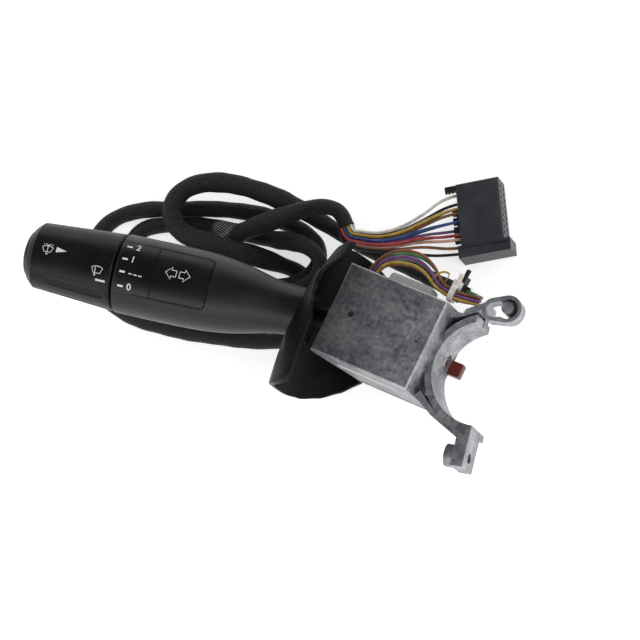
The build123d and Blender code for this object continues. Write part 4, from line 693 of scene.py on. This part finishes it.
finger_red = moulded("finger_red", (0.16, 0.012, 0.010), 0.30, 1200, 0.00004, 0.02, 0.10)
print("moulded finishes ready")

# %% [markdown]
# ## Natural nylon
# The uncoloured cable tie is milky: light goes in and comes out warm, so it gets some subsurface scattering and a
# wet-looking shine.

# %% Cable tie
tie_natural = new_finish("natural_nylon", (0.82, 0.80, 0.72), 0.28, Subsurface_Weight=0.35, Subsurface_Scale=0.002)
milky = blend(tie_natural, noise(tie_natural, 500, 3), (0.70, 0.68, 0.60), (0.86, 0.85, 0.80))
to_shader(tie_natural, "Base Color", milky)
to_shader(tie_natural, "Normal", relief(tie_natural, noise(tie_natural, 900, 2), 0.00006))
print("nylon finish:", tie_natural.name)

# %% [markdown]
# ## Which solid gets which finish
# The solids keep their shape and their place; only their material changes. A table of node and finish is easier to
# read and to change than a separate line for each. The cords aren't in it, because new pieces replace them.

# %% Dress the solids
DRESS = {
    "housing": casting, "back_cover": gearcase_black, "cable_outlet": gearcase_black, "carrier": gearcase_black,
    "terminal_cover": shield_grey, "finger_pin": turned_steel, "guide_pin": turned_steel, "flash_pin": turned_steel,
    "detent_plunger": turned_steel, "detent_spring": turned_steel, "lever_root": oiled_steel,
    "tie_1": tie_natural, "tie_2": tie_black, "connector_housing": socket_grey, "connector_lock": socket_black,
    "connector_latch": socket_black, "stalk_body": satin_black, "cowl": cowl_black, "arrow_plate": plate_black,
    "scale_plate": plate_black, "knob": knob_black, "end_button": button_black, "cancel_finger": finger_red,
    **{f"cover_screw_{number}": zinc_plate for number in range(1, 5)}}
for node, finish in DRESS.items():
    node_mesh = nodes[node].data
    if not node_mesh.materials:
        node_mesh.materials.append(finish)
    for place in range(len(node_mesh.materials)):
        node_mesh.materials[place] = finish
print(len(DRESS), "solids dressed")

# %% [markdown]
# ## The cowl
# The cowl is a barrel-shaped shell that closes the shroud's opening as the lever swings. In the CAD model its rims
# are straight. On the real part the upper end is drawn out into a leaf-shaped tip, the rim dips over the stalk, and
# the lower end is swept back underneath. Cutting it with a knife shape would leave the wall open, so the shell is
# cut finer instead, and each of its points is slid along the barrel, by its angle round it and its place across it.
# The wall keeps its thickness and its radius.

# %% Cut the shell finer
cowl = bmesh.new()
cowl.from_mesh(nodes["cowl"].data)
bmesh.ops.remove_doubles(cowl, verts=cowl.verts, dist=2e-6)
for longest in (12, 6, 3, 1.6):
    bmesh.ops.subdivide_edges(cowl, edges=[e for e in cowl.edges if e.calc_length() > longest * mm], cuts=1)
    bmesh.ops.triangulate(cowl, faces=cowl.faces)
print("cowl cut into", len(cowl.faces), "faces")

# %% [markdown]
# ## Where the edges should be
# The three tables give the outline of the real shell. Tip and lower end are distances across the housing, by angle
# round the barrel; the rim is an angle, by distance across. Between two entries the edge is half straight and half
# eased, so that it has no corners. Points near the middle stay put, and the slide grows towards each edge.

# %% Slide its points along the barrel
BARREL_OUTER, WALL = 32.5, 2.4
BARREL_MIDDLE, BARREL_BULGE = -5.5, 400
TIP_START, TIP_END = 13.0, 33.0
LOW_START, LOW_END = -20, -44.0
RIM_START, RIM_END = 33, 65.2
TIP_EDGE = ((-90, 33), (-20, 33), (-10, 32), (-5, 29), (0, 26), (6, 21), (10.5, 16), (15, 14.8), (40, 14.8),
            (43.7, 21), (47, 26.5), (60, 31), (90, 33))
LOW_EDGE = ((-90, -25), (-85, -27.5), (-73, -34), (-57, -38.8), (-38, -42.2), (-20, -43.7), (90, -44))
RIM_EDGE = ((-50, 65.2), (-22, 65.2), (-10, 64), (-3, 57), (3, 49.6), (8, 43.5), (14, 42), (17.6, 47), (20.2, 54.5),
            (23.3, 62), (27, 64.5), (50, 65.2))


def along_edge(edge, x):
    """The edge's own value at x, eased between its entries."""
    for (x0, y0), (x1, y1) in zip(edge, edge[1:]):
        if x <= x1:
            part = max(0.0, x - x0) / (x1 - x0)
            return y0 + (y1 - y0) * (part * 0.5 + part * part * (3 - 2 * part) * 0.5)
    return edge[-1][1]


def slid(value, start, end, edge):
    """Moves a value that lies between start and end, so that end comes to the edge."""
    return start + (value - start) * (edge - start) / (end - start)


def outer_radius(across):
    """The barrel's radius, largest at its middle."""
    return BARREL_OUTER - (across - BARREL_MIDDLE) ** 2 / BARREL_BULGE


for v in cowl.verts:
    place = (v.co - PIVOT) / mm
    away, across, up = -place.dot(HOUSING_ALONG), place.dot(HOUSING_ACROSS), place.z
    radius, turn = hypot(away, up), degrees(atan2(up, away))
    depth = outer_radius(across) - radius
    if not -0.4 < depth < 2.9:
        continue
    depth = 0.0 if abs(depth) < 0.2 else WALL if abs(depth - WALL) < 0.2 else depth
    if turn > RIM_START:
        turn = slid(turn, RIM_START, RIM_END, along_edge(RIM_EDGE, across))
    if across > TIP_START:
        across = slid(across, TIP_START, TIP_END, along_edge(TIP_EDGE, turn))
    elif across < LOW_START:
        across = slid(across, LOW_START, LOW_END, along_edge(LOW_EDGE, turn))
    radius = outer_radius(across) - depth
    v.co = PIVOT + (HOUSING_ACROSS * across - HOUSING_ALONG * (radius * cos(radians(turn)))
                    + UPWARD * (radius * sin(radians(turn)))) * mm
bmesh.ops.dissolve_degenerate(cowl, edges=cowl.edges, dist=1e-5)
bmesh.ops.recalc_face_normals(cowl, faces=cowl.faces)
cowl_shell = to_piece("cowl_shell", cowl, cowl_black)
cowl_mesh = cowl_shell.data
cowl_mesh.polygons.foreach_set("use_smooth", [True] * len(cowl_mesh.polygons))
cowl_mesh.set_sharp_from_angle(angle=radians(38))
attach(cowl_shell, "lever")
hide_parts("cowl")
print("cowl shaped,", len(cowl_mesh.polygons), "faces")

# %% [markdown]
# ## Printed marks
# The marks on the stalk are white ink, pad-printed on a curved surface: numbers and bars for the wiper's speeds, a
# pair of arrows for the turn signal, and the wiper and washer signs. Each mark is drawn flat first, from text, from
# bars and from strokes of a thin curve, and cut so finely that it can bend.

# %% Draw marks flat
CAPITAL = 0.70  # a figure's height as a share of the font's size


def finely(marks):
    """Cuts long edges, so that a flat mark can bend, then makes triangles."""
    bmesh.ops.subdivide_edges(marks, edges=[e for e in marks.edges if e.calc_length() > 0.9 * mm], cuts=3)
    bmesh.ops.subdivide_edges(marks, edges=[e for e in marks.edges if e.calc_length() > 0.45 * mm], cuts=1)
    bmesh.ops.triangulate(marks, faces=marks.faces)
    return marks


def from_curve(line):
    """The bmesh of a curve or a text, which is then thrown away."""
    marks = bmesh.new()
    flat = bpy.data.objects.new("flat", line)
    mesh = bpy.data.meshes.new_from_object(flat)
    marks.from_mesh(mesh)
    bpy.data.meshes.remove(mesh)
    bpy.data.curves.remove(line)
    return marks


def word(text, height):
    """A number, centred, its height in millimetres."""
    line = bpy.data.curves.new("word", "FONT")
    line.body, line.align_x, line.align_y = text, "CENTER", "CENTER"
    line.size = height * mm / CAPITAL
    line.offset = 0.012 * line.size
    return finely(from_curve(line))


def bar(length, thickness):
    """A plain dash."""
    marks = bmesh.new()
    bmesh.ops.create_grid(marks, x_segments=6, y_segments=3, size=0.5)
    bmesh.ops.scale(marks, verts=marks.verts, vec=(length * mm, thickness * mm, 1))
    return marks


def pointer(length, width):
    """A solid triangle that points along +x."""
    marks = bmesh.new()
    bmesh.ops.create_circle(marks, segments=3, radius=1.0, cap_ends=True)
    bmesh.ops.rotate(marks, verts=marks.verts, matrix=Matrix.Rotation(-pi / 2, 3, "Z"))
    bmesh.ops.scale(marks, verts=marks.verts, vec=(length * mm / 1.5, width * mm / 1.732, 1))
    return finely(marks)


def stroke(points, width, closed=False, kind="POLY"):
    """A thin printed line through points given in millimetres."""
    line = bpy.data.curves.new("stroke", "CURVE")
    line.dimensions = "3D"
    add_run(line, [(x * mm, y * mm, 0) for x, y in points], kind).use_cyclic_u = closed
    line.bevel_depth, line.bevel_resolution, line.resolution_u = width * mm / 2, 1, 6
    marks = from_curve(line)
    bmesh.ops.scale(marks, verts=marks.verts, vec=(1, 1, 0.10))
    return finely(marks)


print("a figure 2 has", len(word("2", 2.9).verts), "points")

# %% [markdown]
# ## Ink on a curved surface
# A shrinkwrap would drag the small marks sideways. Instead each mark is wrapped round the stalk's axis, and every
# one of its points is dropped onto the solid by a ray towards that axis, so that the ink follows the plastic, a few
# hundredths of a millimetre proud of it. The ink itself is slightly worn, by a fine noise in its colour.

# %% Drop marks onto the stalk
ink = new_finish("white_ink", (0.60, 0.60, 0.58), 0.45, Specular_IOR_Level=0.35)
to_shader(ink, "Base Color", blend(ink, noise(ink, 2500, 4, 0.7), (0.42, 0.42, 0.41), (0.80, 0.80, 0.78), 0.25, 0.5))
to_shader(ink, "Normal", relief(ink, noise(ink, 5000), 0.00002))
STALK_RADIUS, RAY_START, INK_PROUD = 18.8 * mm, 30 * mm, 0.03 * mm


def merge(joined, part):
    """Adds one bmesh to another and frees it."""
    passing = bpy.data.meshes.new("passing")
    part.to_mesh(passing)
    part.free()
    joined.from_mesh(passing)
    bpy.data.meshes.remove(passing)


def print_marks(name, node, placed):
    """Lays flat marks on a solid: each with its distance out along the stalk and round it, in millimetres."""
    mesh = nodes[node].data
    skin = BVHTree.FromPolygons([v.co for v in mesh.vertices], [tuple(p.vertices) for p in mesh.polygons])
    joined = bmesh.new()
    for marks, out, around in placed:
        for v in marks.verts:
            angle = (around * mm + v.co.y) / STALK_RADIUS
            aim = STALK_TOP * cos(angle) + STALK_LEFT * sin(angle)
            place = PIVOT + STALK_OUT * (out * mm - v.co.x)
            v.co = skin.ray_cast(place + aim * RAY_START, -aim)[0] + aim * (INK_PROUD + max(0, v.co.z))
        merge(joined, marks)
    return to_piece(name, joined, ink)


print("ink stands", INK_PROUD / mm, "mm proud")

# %% [markdown]
# ## Arrows and scale
# The larger plate carries the two arrows of the turn signal, drawn as outlines, the second one mirrored. The smaller
# plate carries the wiper's positions: a dash beside each figure, and three short dashes for the interval. Each mark
# has its distance out along the stalk and round it, in millimetres.

# %% Print the turn arrows and the wiper's scale
arrow = [(-3.0, 0.0), (-0.2, 2.9), (-0.2, 1.5), (2.2, 1.5), (2.2, -1.5), (-0.2, -1.5), (-0.2, -2.9)]
arrows = print_marks("turn_signal_arrows", "arrow_plate", [
    (stroke(arrow, 0.5, closed=True), 92.1, 0.9),
    (stroke([(-x, y) for x, y in arrow], 0.5, closed=True), 86.1, 0.9)])
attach(arrows, "lever")

scale_marks = print_marks("wiper_scale", "scale_plate", [
    (word("2", 3.2), 111.3, 10.0), (word("1", 3.2), 112.0, 3.2), (word("0", 3.2), 111.1, -10.0),
    *[(bar(2.7, 0.95), out, around) for out, around in ((115.6, 9.9), (115.8, 2.9), (115.6, -3.3), (115.4, -10.1))],
    *[(bar(1.7, 0.5), out, around) for out, around in ((111.5, -3.6), (109.1, -3.7), (106.7, -3.8))]])
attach(scale_marks, "lever")
print("scale:", len(scale_marks.data.polygons), "faces")

# %% [markdown]
# ## The knob's signs
# The knob carries a wiper sign with its bar, and a washer sign with a pointer to the button in its end. They are
# drawn from the same windscreen outline. They ride on the knob, because they turn with it.

# %% Print the knob's signs
screen = [(-1.6, -1.5), (-2.75, 1.1), (-1.5, 1.75), (0.0, 1.95), (1.5, 1.75), (2.75, 1.1), (1.6, -1.5)]
wiper_sign = [
    (stroke(screen, 0.42, closed=True), 128.0, -5.2), (stroke([(-0.9, -2.2), (-0.9, 1.2)], 0.42), 128.0, -5.2),
    (bar(0.8, 0.8), 128.9, -7.7)]
washer_sign = [
    (stroke(screen, 0.40, closed=True), 154.3, 0.0), (bar(0.8, 0.8), 154.3, -2.5),
    (stroke([(0.0, -1.5), (0.0, 1.0), (0.2, 3.0), (1.5, 3.0)], 0.34, kind="NURBS"), 154.3, 0.0),
    (stroke([(0.0, 1.0), (-0.2, 3.0), (-1.5, 3.0)], 0.34, kind="NURBS"), 154.3, 0.0),
    (bar(0.4, 0.5), 152.1, 2.6), (bar(0.4, 0.5), 156.5, 2.6)]
knob_marks = print_marks("knob_signs", "knob", wiper_sign + washer_sign + [
    (bar(4.9, 1.0), 125.6, -10.0), (pointer(5.4, 3.0), 148.2, 0.7)])
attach(knob_marks, "knob")
print("knob signs:", len(knob_marks.data.polygons), "faces")

# %% [markdown]
# ## Painted shade round the plates
# The two printed plates sit in a recess, and the narrow gap round them lies in shade. That shade is painted as a
# near-black flat ribbon that follows the gap. It is set by the stalk's own radius at each place rather than by a
# ray, because a ray would fall into the gap.

# %% Lay the painted shade in the plate gaps
GAP_END, GAP_START, GAP_SIDE = -22.3, 22.2, 13.2
PLATES_MIDDLE, SEAM_PROUD = 96, 0.02


def stalk_radius(out):
    """The stalk's radius in millimetres, by distance out along it."""
    return 19.2 - 0.3 * ((out - 99.75) / 19.75) ** 2 if out > 80 else 18.9 - (80 - out) * 0.06


round_corner = [(GAP_START, 10.8), (21.9, 12.2), (21.2, 12.9), (19.8, GAP_SIDE)]
start_side = [(GAP_START, y) for y in range(-10, 11)]
end_side = [(GAP_END, y) for y in range(13, -14, -1)]
outline = start_side + round_corner + [(GAP_END, GAP_SIDE)] + end_side + [(GAP_END, -GAP_SIDE)] + [
    (x, -y) for x, y in reversed(round_corner)]
divider = [(-5.0, y) for y in range(-13, 14)]
# painted shade: a near-black matte ribbon laid in the gaps round the plates, where shade falls
gap_shade = new_finish("painted_gap_shade", (0.0015, 0.0015, 0.0015), 0.8, Specular_IOR_Level=0.1)
to_shader(gap_shade, "Base Color", blend(gap_shade, noise(gap_shade, 900, 3), (0.001, 0.001, 0.001), (0.006, 0.006, 0.006)))
gap_shade_strips = bmesh.new()
for ribbon in (stroke(outline, 0.52, closed=True), stroke(divider, 0.46)):
    for v in ribbon.verts:
        out = PLATES_MIDDLE - v.co.x / mm
        aim = STALK_TOP * cos(v.co.y / STALK_RADIUS) + STALK_LEFT * sin(v.co.y / STALK_RADIUS)
        proud = SEAM_PROUD * (2 if v.co.z > 0 else 1)
        v.co = PIVOT + STALK_OUT * (out * mm) + aim * ((stalk_radius(out) + proud) * mm)
    merge(gap_shade_strips, ribbon)
plate_gap_shade = to_piece("plate_gap_shade", gap_shade_strips, gap_shade)
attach(plate_gap_shade, "lever")
print("seams:", len(plate_gap_shade.data.polygons), "faces")

# %% [markdown]
# ## A bare label
# A blank paper label sits on the housing's lower side wall. It is a grid of one face whose corners are rounded by a
# vertex bevel, given the thickness of paper and stood against the wall. Faint stains keep it from looking new.

# %% Label
LABEL_SIZE, LABEL_PLACE = (30, 14), (-54, -22.66, 2.5)
paper_white = new_finish("label_paper", (0.66, 0.66, 0.64), 0.55)
stained = blend(paper_white, noise(paper_white, 180, 4), (0.52, 0.51, 0.48), (0.72, 0.72, 0.70))
to_shader(paper_white, "Base Color", stained)
to_shader(paper_white, "Normal", relief(paper_white, noise(paper_white, 1600), 0.00003))
label = bmesh.new()
bmesh.ops.create_grid(label, x_segments=1, y_segments=1, size=0.5)
bmesh.ops.scale(label, verts=label.verts, vec=(LABEL_SIZE[0] * mm, LABEL_SIZE[1] * mm, 1))
bmesh.ops.bevel(label, geom=label.verts[:], offset=1.6 * mm, offset_type="OFFSET", affect="VERTICES", segments=5,
                profile=0.5, material=-1)
bmesh.ops.solidify(label, geom=label.faces[:], thickness=0.10 * mm)
bmesh.ops.recalc_face_normals(label, faces=label.faces)
upright = Matrix((HOUSING_ALONG, UPWARD, -HOUSING_ACROSS)).transposed().to_4x4()
bmesh.ops.transform(label, verts=label.verts, matrix=Matrix.Translation(on_housing(*LABEL_PLACE)) @ upright)
bare_label = to_piece("bare_label", label, paper_white)
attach(bare_label, "base")
print("label of", len(bare_label.data.polygons), "faces")

# %% [markdown]
# ## Pin ends
# Two pins end in the top face, each at the bottom of its hole: the lever's journal and the finger's pin. A cone
# with a slight taper gives the chamfer, and an inset of its top face gives the low dome.

# %% Pin ends in the top face
def pin_end(name, along, across, up, radius, finish):
    """A slightly domed disc with a chamfer, facing up."""
    disc = bmesh.new()
    bmesh.ops.create_cone(disc, cap_ends=True, segments=28, radius1=radius * mm, radius2=radius * 0.8 * mm,
                          depth=0.5 * mm)
    bmesh.ops.inset_region(disc, faces=[f for f in disc.faces if f.normal.z > 0.9], thickness=radius * 0.3 * mm,
                           depth=0.08 * mm)
    bmesh.ops.translate(disc, verts=disc.verts, vec=on_housing(along, across, up))
    made = to_piece(name, disc, finish)
    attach(made, "base")


brassy_steel = steel_finish("brassy_steel", (0.52, 0.44, 0.30), 0.30, (1, 1, 1))
pin_end("journal_end", -68.0, 0.0, 20.1, 1.25, brassy_steel)
pin_end("finger_pin_end", -32.5, 0.0, 20.95, 0.8, brassy_steel)
print("two pin ends")

# %% [markdown]
# ## Frayed ends
# The sleeve is cut with shears, so its ends fray. Each loose filament is a short spline of three points that starts
# inside the rim and leans its own way, by random numbers from a fixed seed, so that every run gives the same fluff.
# All the filaments of one end share one curve object.

# %% Frayed ends
FILAMENT_THICK = 0.22 * mm
random.seed(7)


def frayed(name, mouth, forward, count, reach):
    """Short loose filaments that leave the rim of a cut sleeve."""
    side = forward.cross(UPWARD).normalized()
    rise = side.cross(forward).normalized()
    fluff = bpy.data.curves.new(name, "CURVE")
    fluff.dimensions = "3D"
    for number in range(count):
        turn = 2 * pi * number / count + random.uniform(-0.1, 0.1)
        rim = side * cos(turn) + rise * sin(turn)
        radius = SLEEVE_DIAMETER / 2 * 0.93
        length = random.uniform(0.5, 1.0) * reach
        lean = side * random.uniform(-0.5, 0.5) + rise * random.uniform(-0.4, 0.4)
        start = mouth + rim * radius - forward * 1.5 * mm
        middle = start + forward * length * 0.5 + rim * 0.3 * mm
        end = start + forward * length + rim * random.uniform(-1.2, 0.8) * mm + lean * mm
        add_run(fluff, (start, middle, end))
    fluff.bevel_depth = FILAMENT_THICK / 2
    fluff.bevel_resolution = 0
    fluff.resolution_u = 4
    made = bpy.data.objects.new(name, fluff)
    bpy.context.scene.collection.objects.link(made)
    made.data.materials.append(tie_black)
    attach(made, "base")


towards_switch = (Vector(SLEEVE_ROUTE[0]) - Vector(SLEEVE_ROUTE[1])).normalized()
towards_plug = (sleeve_path[-1] - sleeve_path[-4]).normalized()
frayed("frayed_mouth", sleeve_path[0], towards_switch, 46, 4.5 * mm)
frayed("frayed_tail", sleeve_path[-1], towards_plug, 40, 3.0 * mm)
print("frayed both ends")

# %% [markdown]
# ## A spare wire
# One yellow wire is cut short beside the bundle and bent over, with a thinner bare end. A curve's points carry a
# radius each, so two runs of one curve give the thick and the thin part.

# %% Spare wire end
spare = bpy.data.curves.new("spare_end", "CURVE")
spare.dimensions = "3D"
for run, thick in (([(-47, 31, 3.5), (-44, 35.5, 6.4), (-40.5, 38.0, 6.6), (-38.6, 37.4, 6.0)], 0.5),
                   ([(-38.6, 37.4, 6.0), (-38.2, 36.0, 5.4), (-39.6, 33.6, 4.4)], 0.28)):
    for point in add_run(spare, [on_housing(*place) for place in run]).points:
        point.radius = thick
spare.bevel_depth = 0.001
spare.bevel_resolution = 3
spare.resolution_u = 8
spare.use_fill_caps = True
spare_end = bpy.data.objects.new("spare_end", spare)
bpy.context.scene.collection.objects.link(spare_end)
spare_end.data.materials.append(wire_finishes["yellow"])
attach(spare_end, "base")
print("spare wire end laid")
